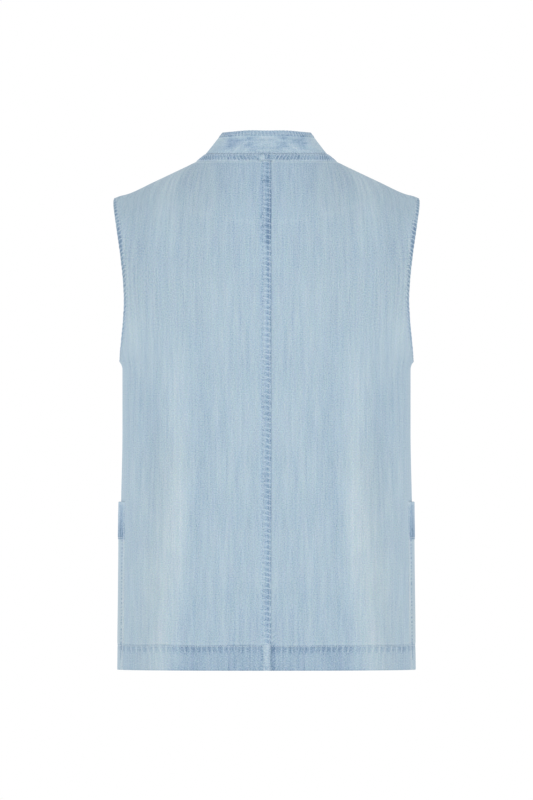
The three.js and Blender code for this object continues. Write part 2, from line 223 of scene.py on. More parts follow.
# Broad bands of tone on the back, with the tone as the rise: pale where the cloth stood out
# and dark beside that, partly the wash and partly a painted highlight on the folds' ridges
# with painted shade in their troughs; and as a second table how much yellower it is, which
# near the armhole is a painted shade tint where the back rounds away.
BACK_WASH_AND_LIGHT_BANDS: tuple[Fold, ...] = (
    Fold(-205, -540, 119, 106, 17, 0.21),
    Fold(-400, HEM_Z, 119, 136, 18, 0.26),
    Fold(-175, HEM_Z, 86, 92, 13, -0.15),
    Fold(-160, -260, 104, 106, 9, -0.14),
    Fold(-540, HEM_Z, 106, 106, 9, -0.08),
    Fold(-75, -300, 71, 72, 12, 0.14),
    Fold(-255, -420, 152, 150, 22, -0.13),
    Fold(-165, -275, 170, 168, 16, 0.28),
    Fold(-310, -460, 173, 172, 11, 0.10),
    Fold(40, -215, 165, 170, 22, -0.10),
    Fold(70, -115, 128, 136, 18, 0.16),
    Fold(-550, HEM_Z, 34, 36, 32, -0.15),
)
BACK_YELLOW_TINT: tuple[Fold, ...] = (
    Fold(-330, HEM_Z, 130, 152, 24, 0.38),
    Fold(70, -230, 70, 110, 45, 0.24),
    Fold(60, -215, 170, 175, 30, 0.35),
)
# Pairs of stains lie the same on both sides, where the collar was pressed double.
COLLAR_STAINS: tuple[Stain, ...] = (
    Stain(24.0, 23.5, 8.5, 4.2, 0.52),
    Stain(24.0, 13.0, 6.0, 4.2, 0.34),
    Stain(15.5, 12.0, 5.5, 3.6, 0.26),
    Stain(42.0, 20.5, 9.0, 4.0, 0.34),
    Stain(54.0, 15.0, 8.0, 6.2, 0.52),
    Stain(58.0, 25.5, 9.0, 4.2, 0.46),
)
# Part of the way round half of the neck, and lean in degrees.
COLLAR_LEAN: tuple[tuple[float, float], ...] = ((0, 31), (0.42, 38), (0.7, 36), (1, 33))


class Side(Enum):
    """The wearer's left or right, as the sign of X."""

    LEFT = 1
    RIGHT = -1

    @property
    def label(self) -> str:
        """The side's name in a piece's name."""
        return self.name.lower()


class Face(Enum):
    """The back or the front of the form, as the sign of Y."""

    BACK = 1
    FRONT = -1

    @property
    def depth_column(self) -> int:
        """The column of FORM that holds this face's depth."""
        return 2 if self is Face.BACK else 3

    @property
    def rounding(self) -> float:
        """The height over which the shoulder rounds down to this face."""
        return 135.0 if self is Face.BACK else 150.0

    @property
    def armhole(self) -> tuple[tuple[float, float], ...]:
        """The armhole edge on this face."""
        return BACK_ARMHOLE if self is Face.BACK else FRONT_ARMHOLE

    @property
    def folds(self) -> tuple[Fold, ...]:
        """The soft folds on this face."""
        return BACK_FOLDS if self is Face.BACK else FRONT_FOLDS


# Curves, tables and noise that every piece draws on.


def mix(a: Values, b: Values, t: Values) -> Values:
    """Goes from a to b as t goes from 0 to 1."""
    return a + (b - a) * t


def smooth(t: Values) -> np.ndarray:
    """An S-curve: 3t^2 - 2t^3 on t held between 0 and 1."""
    u = np.clip(t, 0.0, 1.0)
    return u * u * (3 - 2 * u)


def bell(distance: Values, centre: float, width: float) -> np.ndarray:
    """A bell: exp of minus the square of the distance from the centre over the width."""
    return np.exp(-(((distance - centre) / width) ** 2))


def inside(distance: Values, low: float, high: float, soft: float = 0.8) -> np.ndarray:
    """1 between low and high, falling by S-curves to 0 over the soft width outside."""
    return smooth((distance - low + soft) / soft) * smooth((high + soft - distance) / soft)


def trail(distance: Values, reach: float) -> np.ndarray:
    """1 up to nought, and from there an exponential fall over the reach."""
    return np.exp(-np.maximum(distance, 0) / reach)


def nearest(places: np.ndarray, wanted: float) -> int:
    """The number of the place that lies nearest to the one wanted."""
    return int(np.argmin(np.abs(places - wanted)))


def read_table(rows: Table, key: int, column: int, at: Values) -> np.ndarray:
    """Reads a column of a table by a cubic that never overshoots its rows.

    Hermite cubics join the rows, and the slope at a row is the harmonic mean of the
    slopes on its two sides, or nought where they differ in sign.

    Args:
        rows: the table, a row for each station.
        key: the column that holds the stations, in rising order.
        column: the column to read.
        at: the places to read it at.

    Returns:
        The values, in the shape of at.
    """
    table = np.array([tuple(row) for row in rows], float)
    xs, ys = table[:, key], table[:, column]
    place = np.clip(np.asarray(at, float), xs[0], xs[-1])
    secant = np.diff(ys) / np.diff(xs)
    product, total = secant[:-1] * secant[1:], secant[:-1] + secant[1:]
    inner = np.where(product > 0, 2 * product / np.where(total == 0, 1, total), 0)
    slope = np.concatenate(([secant[0]], inner, [secant[-1]]))
    i = np.clip(np.searchsorted(xs, place, side="right") - 1, 0, len(xs) - 2)
    span = xs[i + 1] - xs[i]
    u = (place - xs[i]) / span
    curve = ys[i] + (ys[i + 1] - ys[i]) * (u * u * (3 - 2 * u))
    return curve + span * u * (1 - u) * ((1 - u) * slope[i] - u * slope[i + 1])


def wobble(run: Values, pitch: float, seed: int) -> np.ndarray:
    """Smooth noise along a line: seeded values a pitch apart, joined by S-curves.

    Args:
        run: distances along the line.
        pitch: distance between the values.
        seed: picks the values.

    Returns:
        Values from -1 to 1, in the shape of run.
    """
    values = np.random.default_rng(seed).uniform(-1, 1, 4096)
    t = np.asarray(run, float) / pitch + 2048.37
    i = np.floor(t).astype(int) % 4095
    return mix(values[i], values[i + 1], smooth(t - np.floor(t)))


def pucker(run: Values, pitch: float, seed: int) -> np.ndarray:
    """The uneven ripple that a row of stitches draws in cloth.

    A sine of the run over the pitch, its phase shifted and its height changed by smooth
    noise two to three pitches long, so that no two puckers are alike.

    Args:
        run: distances along the row.
        pitch: the usual distance between two puckers.
        seed: picks the noise.

    Returns:
        Values from about -1 to 1, in the shape of run.
    """
    phase = np.asarray(run) / pitch + 0.4 * wobble(run, 2.6 * pitch, seed)
    return np.sin(2 * np.pi * phase) * (0.72 + 0.28 * wobble(run, 2.1 * pitch, seed + 1))


def holes_along(run: Values, pitch: float, drift: float, reach: float, seed: int) -> np.ndarray:
    """Needle holes: a sine over the pitch, its phase drifting by noise over the reach."""
    return np.sin(2 * np.pi * run / pitch + drift * wobble(run, reach, seed))


def tongues(run: Values, depth: Values, pitch: float, length: float, seed: int) -> np.ndarray:
    """Dark tongues that hang from a row of stitches into the puckered cloth.

    A tongue is where the pucker's wave stands above a line that climbs with the square
    of the depth, and it fades out round its end, each at its own length.

    Args:
        run: distances along the row.
        depth: distances away from it.
        pitch: the usual distance between two tongues.
        length: the usual length of a tongue.
        seed: picks the noise.

    Returns:
        Values from 0 to 1, in the shape of run and depth together.
    """
    wave = pucker(run, pitch, seed)
    share = np.maximum(depth, 0) / (length * (0.85 + 0.3 * wobble(run, 1.7 * pitch, seed + 7)))
    line = -0.3 + 0.6 * share**2
    ends = 1 - smooth((share - 0.7) / 0.5)
    return smooth((wave - line) / 0.6 + 0.5) * ends * (depth > -0.5)


def blotch(u: Values, v: Values, pitch_u: float, pitch_v: float, seed: int) -> np.ndarray:
    """Smooth noise over a surface: seeded values on a lattice, joined by S-curves.

    Args:
        u: distances across.
        v: distances along, in the same shape.
        pitch_u: lattice pitch across.
        pitch_v: lattice pitch along.
        seed: picks the values.

    Returns:
        Values from -1 to 1, in the shape of u.
    """
    values = np.random.default_rng(seed).uniform(-1, 1, (512, 512))
    a, b = np.asarray(u) / pitch_u + 200.3, np.asarray(v) / pitch_v + 200.7
    i, j = np.floor(a).astype(int) % 511, np.floor(b).astype(int) % 511
    s, t = smooth(a - np.floor(a)), smooth(b - np.floor(b))
    low = mix(values[i, j], values[i + 1, j], s)
    return mix(low, mix(values[i, j + 1], values[i + 1, j + 1], s), t)


def running(points: np.ndarray) -> np.ndarray:
    """The length of a line of points up to each of them."""
    steps = np.linalg.norm(np.diff(points, axis=0), axis=-1)
    return np.concatenate([[0.0], np.cumsum(steps)])


def unit(vectors: np.ndarray) -> np.ndarray:
    """The vectors along the last axis, each made one long."""
    return vectors / np.maximum(np.linalg.norm(vectors, axis=-1, keepdims=True), 1e-12)


# The form that the cloth lies on.


def lower_v(z: Values) -> np.ndarray:
    """Row number of a height between the hem, 0, and the underarm, 1."""
    return (np.asarray(z, float) - HEM_Z) / (UNDERARM_Z - HEM_Z)


def neck_v(out: Values) -> np.ndarray:
    """Row number of a distance out along the shoulder, from the tip, 2, to the neck, 3."""
    return 2 + (TIP_OUT - np.asarray(out, float)) / (TIP_OUT - NECK_OUT)


def shoulder_z(out: Values) -> np.ndarray:
    """Height of the shoulder line, which goes on as a parabolic crown inside the neck.

    Args:
        out: distances out from the middle.

    Returns:
        The heights, in the shape of out.
    """
    out = np.asarray(out, float)
    crown = NECK_Z + CROWN_RISE * (1 - (out / NECK_OUT) ** 2)
    return np.where(out >= NECK_OUT, read_table(SHOULDER_LINE, 0, 1, out), crown)


def form_depth(face: Face, x: Values, z: Values) -> np.ndarray:
    """How far the form lies behind or before the side line.

    A superellipse in plan, of the section's half width and depth, times a quarter circle
    that rounds it up to the shoulder line.

    Args:
        face: back or front.
        x: distances across.
        z: heights, in the same shape.

    Returns:
        Y, in the shape of x.
    """
    out = np.abs(x)
    reach = np.clip(out / read_table(FORM, 0, 1, z), 0, 1)
    section = (1 - reach**SQUARENESS) ** (1 / SQUARENESS)
    below = np.clip((shoulder_z(out) - z) / face.rounding, 0, 1)
    depth = read_table(FORM, 0, face.depth_column, z)
    return face.value * depth * section * np.sqrt(1 - (1 - below) ** 2)


def row_ends(face: Face, v: Values) -> tuple[np.ndarray, np.ndarray, np.ndarray]:
    """The rows of cloth: 0 is the hem, 1 the underarm, 2 the shoulder tip, 3 the neck.

    Args:
        face: back or front.
        v: row numbers.

    Returns:
        Each row's height at the middle, its height at the outer end, and how far out
        that end lies.
    """
    v = np.asarray(v, float)
    low = mix(HEM_Z, UNDERARM_Z, np.clip(v, 0, 1))
    arm, top = np.clip(v - 1, 0, 1), np.clip(v - 2, 0, 1)
    edge = mix(UNDERARM_Z, TIP_Z, (1 - np.cos(np.pi * arm)) / 2)
    shoulder_out = mix(TIP_OUT, NECK_OUT, top)
    line = shoulder_z(shoulder_out)
    if face is Face.BACK:
        mid_arm, mid_top = mix(UNDERARM_Z, TIP_Z, arm), line
    else:
        mid_arm = mix(UNDERARM_Z, FRONT_TIP_Z, arm)
        mid_top = mix(FRONT_TIP_Z, FRONT_NECK_Z, top)
    inner = np.where(v <= 1, low, np.where(v <= 2, mid_arm, mid_top))
    outer = np.where(v <= 1, low, np.where(v <= 2, edge, line))
    lower_out = read_table(FORM, 0, 1, low)
    arm_out = read_table(face.armhole, 0, 1, edge)
    out = np.where(v <= 1, lower_out, np.where(v <= 2, arm_out, shoulder_out))
    return inner, outer, out


@dataclass
class FormRows:
    """Rows of the form, sampled finely, with their running lengths from the middle.

    A row runs from a little past the middle out to its end. Its x is the end's distance
    times the sine of an angle, and its height goes from the middle's to the end's by a
    power of x, while y is the form's depth there.
    """

    face: Face
    v: np.ndarray
    samples: int = 300
    points: np.ndarray = field(init=False)
    run: np.ndarray = field(init=False)
    length: np.ndarray = field(init=False)

    def __post_init__(self) -> None:
        """Works out every row's points and running lengths as whole arrays."""
        inner, outer, out = (a[:, None] for a in row_ends(self.face, self.v))
        turn = np.linspace(-0.22, np.pi / 2, self.samples)[None, :]
        x = out * np.sin(turn)
        z = mix(inner, outer, (np.abs(x) / out) ** ROW_LIFT)
        self.points = np.stack([x, form_depth(self.face, x, z), z], axis=-1)
        step = np.linalg.norm(np.diff(self.points, axis=1), axis=-1)
        run = np.concatenate([np.zeros((len(step), 1)), np.cumsum(step, axis=1)], axis=1)
        k = np.argmax(x >= 0, axis=1)[:, None]
        x0, x1 = np.take_along_axis(x, k - 1, 1), np.take_along_axis(x, k, 1)
        r0, r1 = np.take_along_axis(run, k - 1, 1), np.take_along_axis(run, k, 1)
        self.run = run - mix(r0, r1, -x0 / (x1 - x0))
        self.length = self.run[:, -1]

    def at(self, along: np.ndarray) -> np.ndarray:
        """The form's points at distances along the rows.

        Args:
            along: a line of distances from the middle for each row.

        Returns:
            The points, with x, y and z on the last axis.
        """
        k = np.sum(self.run[:, None, :] <= along[:, :, None], axis=2) - 1
        k = np.clip(k, 0, self.samples - 2)
        r0, r1 = np.take_along_axis(self.run, k, 1), np.take_along_axis(self.run, k + 1, 1)
        share = ((along - r0) / (r1 - r0))[:, :, None]
        line = np.arange(len(k))[:, None]
        return mix(self.points[line, k], self.points[line, k + 1], share)


def row_lengths(v: np.ndarray) -> dict[Face, np.ndarray]:
    """How long each row is on the back and on the front, from the middle out."""
    return {face: FormRows(face, v).length for face in Face}


def fold_rise(folds: tuple[Fold, ...], x: Values, z: Values) -> np.ndarray:
    """How far folds lift the cloth: bells across, grown and faded along their length.

    Args:
        folds: the folds.
        x: distances across.
        z: heights, in the same shape.

    Returns:
        The sum of the folds' rises, in the shape of x.
    """
    rise = np.zeros(np.shape(x))
    for fold in folds:
        down = np.clip((fold.top - z) / (fold.top - fold.foot), 0, 1)
        centre = mix(fold.out_top, fold.out_foot, down)
        across = np.exp(-(((np.abs(x) - centre) / fold.width) ** 2))
        grown = smooth((fold.top + FOLD_FADE / 2 - z) / FOLD_FADE)
        fades = smooth((z - fold.foot) / FOLD_FADE) if fold.foot > HEM_Z else 1.0
        rise += fold.rise * across * grown * fades
    return rise


@dataclass
class Cloth:
    """A grid of places on the cloth of one face, on the side of +X.

    The fields hold a row for each v and a column for each distance: the points with the
    folds in, their outward normals, the distance along the row, the distance up the
    cloth, the distance in from the row's outer end, and how far the folds lift it.
    """

    face: Face
    v: np.ndarray
    along: np.ndarray
    point: np.ndarray = field(init=False)
    normal: np.ndarray = field(init=False)
    up: np.ndarray = field(init=False)
    end: np.ndarray = field(init=False)
    rise: np.ndarray = field(init=False)

    def __post_init__(self) -> None:
        """Lays the grid on the form and takes its normals from its own differences."""
        rows = FormRows(self.face, self.v)
        base = rows.at(self.along)
        across, upward = np.gradient(base, axis=1), np.gradient(base, axis=0)
        normal = unit(np.cross(across, upward))
        level = np.full(base.shape[:2] + (1,), 80.0)
        outward = np.concatenate([base[..., :2], level], axis=-1)
        normal *= np.sign(np.sum(normal * outward, axis=-1, keepdims=True))
        self.end = rows.length[:, None] - self.along
        seam = (self.end < 0.5) & ((self.v <= 1) | (self.v >= 2))[:, None]
        normal[seam, 1] = 0.0
        normal = unit(normal)
        self.rise = fold_rise(self.face.folds, base[..., 0], base[..., 2])
        self.point = base + normal * self.rise[..., None]
        self.normal = normal
        spine = rows.at(np.full((len(self.v), 1), SPINE_OUT))[:, 0]
        first = (self.v[0] * (UNDERARM_Z - HEM_Z)) if self.v[0] <= 1 else 0.0
        self.up = np.broadcast_to((first + running(spine))[:, None], self.along.shape)


# Walls of cloth and rows of stitches, as meshes.


@dataclass
class Seam:
    """Puckers beside a row of stitches.

    run and deep count puckers along the row and away from it, and pull and crimp are how
    dark the large and the small puckers are, from 0 to 1.
    """

    run: np.ndarray
    deep: np.ndarray
    pull: np.ndarray
    crimp: np.ndarray

    @classmethod
    def laid(cls, run: Values, deep: Values, pull: Values, crimp: Values = 0.0) -> "Seam":
        """Puckers from values that share one shape once they are spread over each other."""
        return cls(*(np.array(a, float) for a in np.broadcast_arrays(run, deep, pull, crimp)))

    def over(self, other: "Seam") -> "Seam":
        """Both together: at each point the stronger one holds.

        Args:
            other: puckers beside another row, on the same grid.

        Returns:
            The puckers of both rows.
        """
        first = self.pull + self.crimp >= other.pull + other.crimp
        names = ("run", "deep", "pull", "crimp")
        pairs = ((getattr(self, name), getattr(other, name)) for name in names)
        return Seam(*(np.where(first, mine, theirs) for mine, theirs in pairs))

    @property
    def places(self) -> np.ndarray:
        """The two counts on the last axis."""
        return np.stack([self.run, self.deep], axis=-1)


@dataclass
class Shell:
    """A closed wall over a grid: two skins and a rim.

    The outer skin is each point moved out along its normal by outer, and the inner skin,
    which may skip every other row and column, by inner. fade is the tone at each
    point, from -1, dark, to 1, pale: the wash and wear, with painted highlights and painted
    shade in places; rag is how ragged the wash is there, and cast how far the colour is
    greyed, partly by faded indigo and partly as painted shade on the shoulders, both from 0
    to 1. seam holds the puckers beside its stitches.
    """

    name: str
    point: np.ndarray
    normal: np.ndarray
    outer: np.ndarray
    inner: np.ndarray
    across: np.ndarray
    along: np.ndarray
    fade: np.ndarray
    rag: np.ndarray
    cast: np.ndarray
    seam: Seam
    side: Side = Side.LEFT
    skip: int = 1

    def outer_points(self) -> np.ndarray:
        """The outer skin's points on the piece's own side."""
        moved = self.point + self.normal * self.outer[..., None]
        return moved * np.array([self.side.value, 1, 1])

    def outer_normals(self) -> np.ndarray:
        """The outer skin's normals on the piece's own side."""
        return self.normal * np.array([self.side.value, 1, 1])

    def stitched(self, *places: Any, **sizes: float) -> list["StitchRow"]:
        """Rows of stitches along rows or columns of the outer skin.

        Args:
            *places: which points of the grid each row runs along, as an index.
            **sizes: the stitches' sizes, where they aren't the usual ones.

        Returns:
            A row of stitches for each place.
        """
        points, normals = self.outer_points(), self.outer_normals()
        return [StitchRow(points[place], normals[place], **sizes) for place in places]

    def build(self, materials: tuple[bpy.types.Material, bpy.types.Material]) -> bpy.types.Object:
        """Makes the mesh, in metres, with its cloth map and its wash attributes.

        Args:
            materials: the cloth's right side and its wrong side.

        Returns:
            The piece, linked to the scene.
        """
        k = self.skip
        mirror = np.array([self.side.value, 1, 1])
        under = (self.point + self.normal * self.inner[..., None])[::k, ::k] * mirror
        vertices = np.concatenate([self.outer_points().reshape(-1, 3), under.reshape(-1, 3)])
        fine = np.arange(self.outer.size).reshape(self.outer.shape)
        coarse = self.outer.size + np.arange(under[..., 0].size).reshape(under.shape[:2])
        top, back = grid_quads(fine), grid_quads(coarse)[:, ::-1]
        ring, below = outline_of(fine), outline_of(coarse)
        start, end = ring[::k], np.roll(ring, -k)[::k]
        rim = [start, below, np.roll(below, -1), end]
        if k == 2:
            rim.append(ring[1::2])
        faces = facing_out(vertices, [top, back, np.stack(rim, axis=-1)])
        mesh = bpy.data.meshes.new(self.name)
        fill_mesh(mesh, vertices * MM, faces)
        for material in materials:
            mesh.materials.append(material)
        kind = np.zeros(sum(len(f) for f in faces), np.int32)
        kind[len(top) : len(top) + len(back)] = 1
        mesh.polygons.foreach_set("material_index", kind)
        corners = np.concatenate([f.reshape(-1) for f in faces])
        flat = np.stack([self.across, self.along], axis=-1) * MM
        for name, places in (("cloth", flat), ("seam", self.seam.places)):
            both = np.concatenate([places.reshape(-1, 2), places[::k, ::k].reshape(-1, 2)])
            layer = mesh.uv_layers.new(name=name)
            layer.data.foreach_set("uv", both[corners].astype(np.float32).reshape(-1))
        tone_attributes = {"fade": self.fade, "rag": self.rag, "cast": self.cast}
        tone_attributes |= {"pull": self.seam.pull, "crimp": self.seam.crimp}
        for name, values in tone_attributes.items():
            attribute = mesh.attributes.new(name, "FLOAT", "POINT")
            spread = np.concatenate([values.reshape(-1), values[::k, ::k].reshape(-1)])
            attribute.data.foreach_set("value", spread.astype(np.float32))
        mesh.update()
        return link(bpy.data.objects.new(self.name, mesh))


def grid_quads(index: np.ndarray) -> np.ndarray:
    """The four-sided faces of a grid of vertex numbers."""
    a, b, c, d = index[:-1, :-1], index[:-1, 1:], index[1:, 1:], index[1:, :-1]
    return np.stack([a, b, c, d], axis=-1).reshape(-1, 4)


def outline_of(index: np.ndarray) -> np.ndarray:
    """The vertex numbers round a grid, in order, each once."""
    return np.concatenate([index[0, :-1], index[:-1, -1], index[-1, :0:-1], index[:0:-1, 0]])


def made_odd(values: np.ndarray) -> np.ndarray:
    """Adds a halfway step in the middle of the last axis where its count is even.

    Args:
        values: steps along the last axis.

    Returns:
        The steps, an odd number of them.
    """
    if values.shape[-1] % 2:
        return values
    k = values.shape[-1] // 2
    halfway = (values[..., k - 1 : k] + values[..., k : k + 1]) / 2
    return np.concatenate([values[..., :k], halfway, values[..., k:]], axis=-1)


def facing_out(vertices: np.ndarray, faces: list[np.ndarray]) -> list[np.ndarray]:
    """Turns every face round where the closed mesh would hold a negative volume.

    Args:
        vertices: all vertices.
        faces: arrays of faces, each array with its own number of sides.

    Returns:
        The faces, pointing out.
    """
    volume = 0.0
    for group in faces:
        first = vertices[group[:, 0]]
        for k in range(1, group.shape[1] - 1):
            fan = np.cross(vertices[group[:, k]], vertices[group[:, k + 1]])
            volume += float(np.sum(first * fan))
    return faces if volume > 0 else [group[:, ::-1].copy() for group in faces]


def fill_mesh(mesh: bpy.types.Mesh, vertices: np.ndarray, faces: list[np.ndarray]) -> None:
    """Puts whole arrays of vertices and faces into a mesh, shaded smooth.

    Args:
        mesh: an empty mesh.
        vertices: the vertices, in metres.
        faces: arrays of faces, each array with its own number of sides.
    """
    corners = np.concatenate([f.reshape(-1) for f in faces]).astype(np.int32)
    sides = np.concatenate([np.full(len(f), f.shape[1]) for f in faces])
    starts = np.concatenate([[0], np.cumsum(sides)[:-1]]).astype(np.int32)
    mesh.vertices.add(len(vertices))
    mesh.vertices.foreach_set("co", vertices.astype(np.float32).reshape(-1))
    mesh.loops.add(len(corners))
    mesh.loops.foreach_set("vertex_index", corners)
    mesh.polygons.add(len(sides))
    mesh.polygons.foreach_set("loop_start", starts)
    mesh.polygons.foreach_set("use_smooth", np.ones(len(sides), bool))
    mesh.update(calc_edges=True)
    mesh.validate()


def link(piece: bpy.types.Object) -> bpy.types.Object:
    """Links an object to the scene and gives it back."""
    bpy.context.scene.collection.objects.link(piece)
    return piece


# One stitch in its own sizes: its rings' places along it and their radii, smaller at the
# ends.
STITCH_RINGS: tuple[tuple[float, float], ...] = (
    (-0.5, 0.45),
    (-0.3, 0.95),
    (0.3, 0.95),
    (0.5, 0.45),
)
STITCH_SIDES = 5


@dataclass
class StitchRow:
    """A row of lock stitches along a path on the cloth.

    The path is a line of points with normals. Stitches lie a pitch apart along it, each
    a short bar of thread with rounded ends that sinks a little at its holes.
    """

    path: np.ndarray
    normal: np.ndarray
    pitch: float = 3.1
    length: float = 2.4
    radius: float = 0.34

    def geometry(self) -> tuple[np.ndarray, np.ndarray]:
        """The row's vertices and four-sided faces.

        Each stitch's frame is the path's direction, the cloth's normal and their cross
        product, and the bar's rings are circles in the last two.

        Returns:
            Vertices in millimetres, and faces.
        """
        run = running(self.path)
        count = max(int(run[-1] / self.pitch), 1)
        middle = (np.arange(count) + 0.5) * run[-1] / count
        ahead, behind = middle + self.length / 2, middle - self.length / 2

        def sample(values: np.ndarray, at: np.ndarray) -> np.ndarray:
            """Reads each column of values at distances along the path."""
            return np.stack([np.interp(at, run, values[:, k]) for k in range(3)], axis=-1)

        centre = (sample(self.path, ahead) + sample(self.path, behind)) / 2
        forward = unit(sample(self.path, ahead) - sample(self.path, behind))
        up = unit(sample(self.normal, middle))
        sideways = unit(np.cross(up, forward))
        up = np.cross(forward, sideways)
        turn = np.arange(STITCH_SIDES) * 2 * np.pi / STITCH_SIDES
        place, girth = np.array(STITCH_RINGS).T[:, None, :, None, None]
        lift = self.radius * (0.55 - 2.2 * np.abs(place) ** 2)
        centre, forward, up, sideways = (
            a[:, None, None, :] for a in (centre, forward, up, sideways)
        )
        circle = np.cos(turn)[:, None] * sideways + np.sin(turn)[:, None] * up
        offset = place * self.length * forward + lift * up + self.radius * girth * circle
        vertices = (centre + offset).reshape(-1, 3)
        rings = len(STITCH_RINGS)
        one = []
        for r in range(rings - 1):
            for s in range(STITCH_SIDES):
                n = (s + 1) % STITCH_SIDES
                lower, upper = r * STITCH_SIDES, (r + 1) * STITCH_SIDES
                one.append((lower + s, lower + n, upper + n, upper + s))
        for base, order in ((0, (0, 4, 3, 1)), ((rings - 1) * STITCH_SIDES, (0, 1, 3, 4))):
            one.append(tuple(base + k for k in order))
        for base, order in ((0, (3, 2, 1, 1)), ((rings - 1) * STITCH_SIDES, (1, 2, 3, 3))):
            one.append(tuple(base + k for k in order))
        template = np.array(one)
        faces = template[None] + (np.arange(count) * rings * STITCH_SIDES)[:, None, None]
        return vertices, faces.reshape(-1, 4)


def sew(name: str, rows: list[StitchRow], thread: bpy.types.Material) -> bpy.types.Object:
    """Joins rows of stitches into one mesh of thread.

    Args:
        name: the piece's name.
        rows: the rows.
        thread: the thread's material.

    Returns:
        The piece, riding on the vest.
    """
    parts, faces, base = [], [], 0
    for row in rows:
        vertices, quads = row.geometry()
        parts.append(vertices)
        faces.append(quads + base)
        base += len(vertices)
    quads = np.concatenate(faces)
    mesh = bpy.data.meshes.new(name)
    sides = [tuple(dict.fromkeys(q)) for q in quads.tolist()]
    mesh.from_pydata((np.concatenate(parts) * MM).tolist(), [], sides)
    mesh.polygons.foreach_set("use_smooth", np.ones(len(mesh.polygons), bool))
    mesh.materials.append(thread)
    piece = link(bpy.data.objects.new(name, mesh))
    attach(piece, "root")
    return piece


# What the cloth, the thread and the floor are made of.


def linear(hex_colour: str) -> tuple[float, float, float, float]:
    """Turns an sRGB hex colour into a linear one.

    Args:
        hex_colour: a hash and six digits.

    Returns:
        Linear red, green and blue, and alpha.
    """
    parts = [int(hex_colour[k : k + 2], 16) / 255 for k in (1, 3, 5)]
    straight = [p / 12.92 if p <= 0.04045 else ((p + 0.055) / 1.055) ** 2.4 for p in parts]
    return straight[0], straight[1], straight[2], 1.0


def new_material(name: str) -> tuple[bpy.types.Material, bpy.types.NodeTree]:
    """Makes a material with an empty node tree.

    Args:
        name: the material's name.

    Returns:
        The material and its node tree.
    """
    material = bpy.data.materials.new(name)
    material.use_nodes = True
    material.node_tree.nodes.clear()
    return material, material.node_tree


def add_node(
    tree: bpy.types.NodeTree, kind: str, sockets: dict[str | int, Any], **settings: Any
) -> bpy.types.Node:
    """Adds a node with its settings, and sets or links its sockets.

    Args:
        tree: the node tree.
        kind: the node's type.
        sockets: what goes into each input, by name or number: an output socket or a value.
        **settings: the node's own properties.

    Returns:
        The node.
    """
    node = tree.nodes.new(kind)
    for key, value in settings.items():
        setattr(node, key, value)
    for key, value in sockets.items():
        if isinstance(value, bpy.types.NodeSocket):
            tree.links.new(value, node.inputs[key])
        else:
            node.inputs[key].default_value = value
    return node


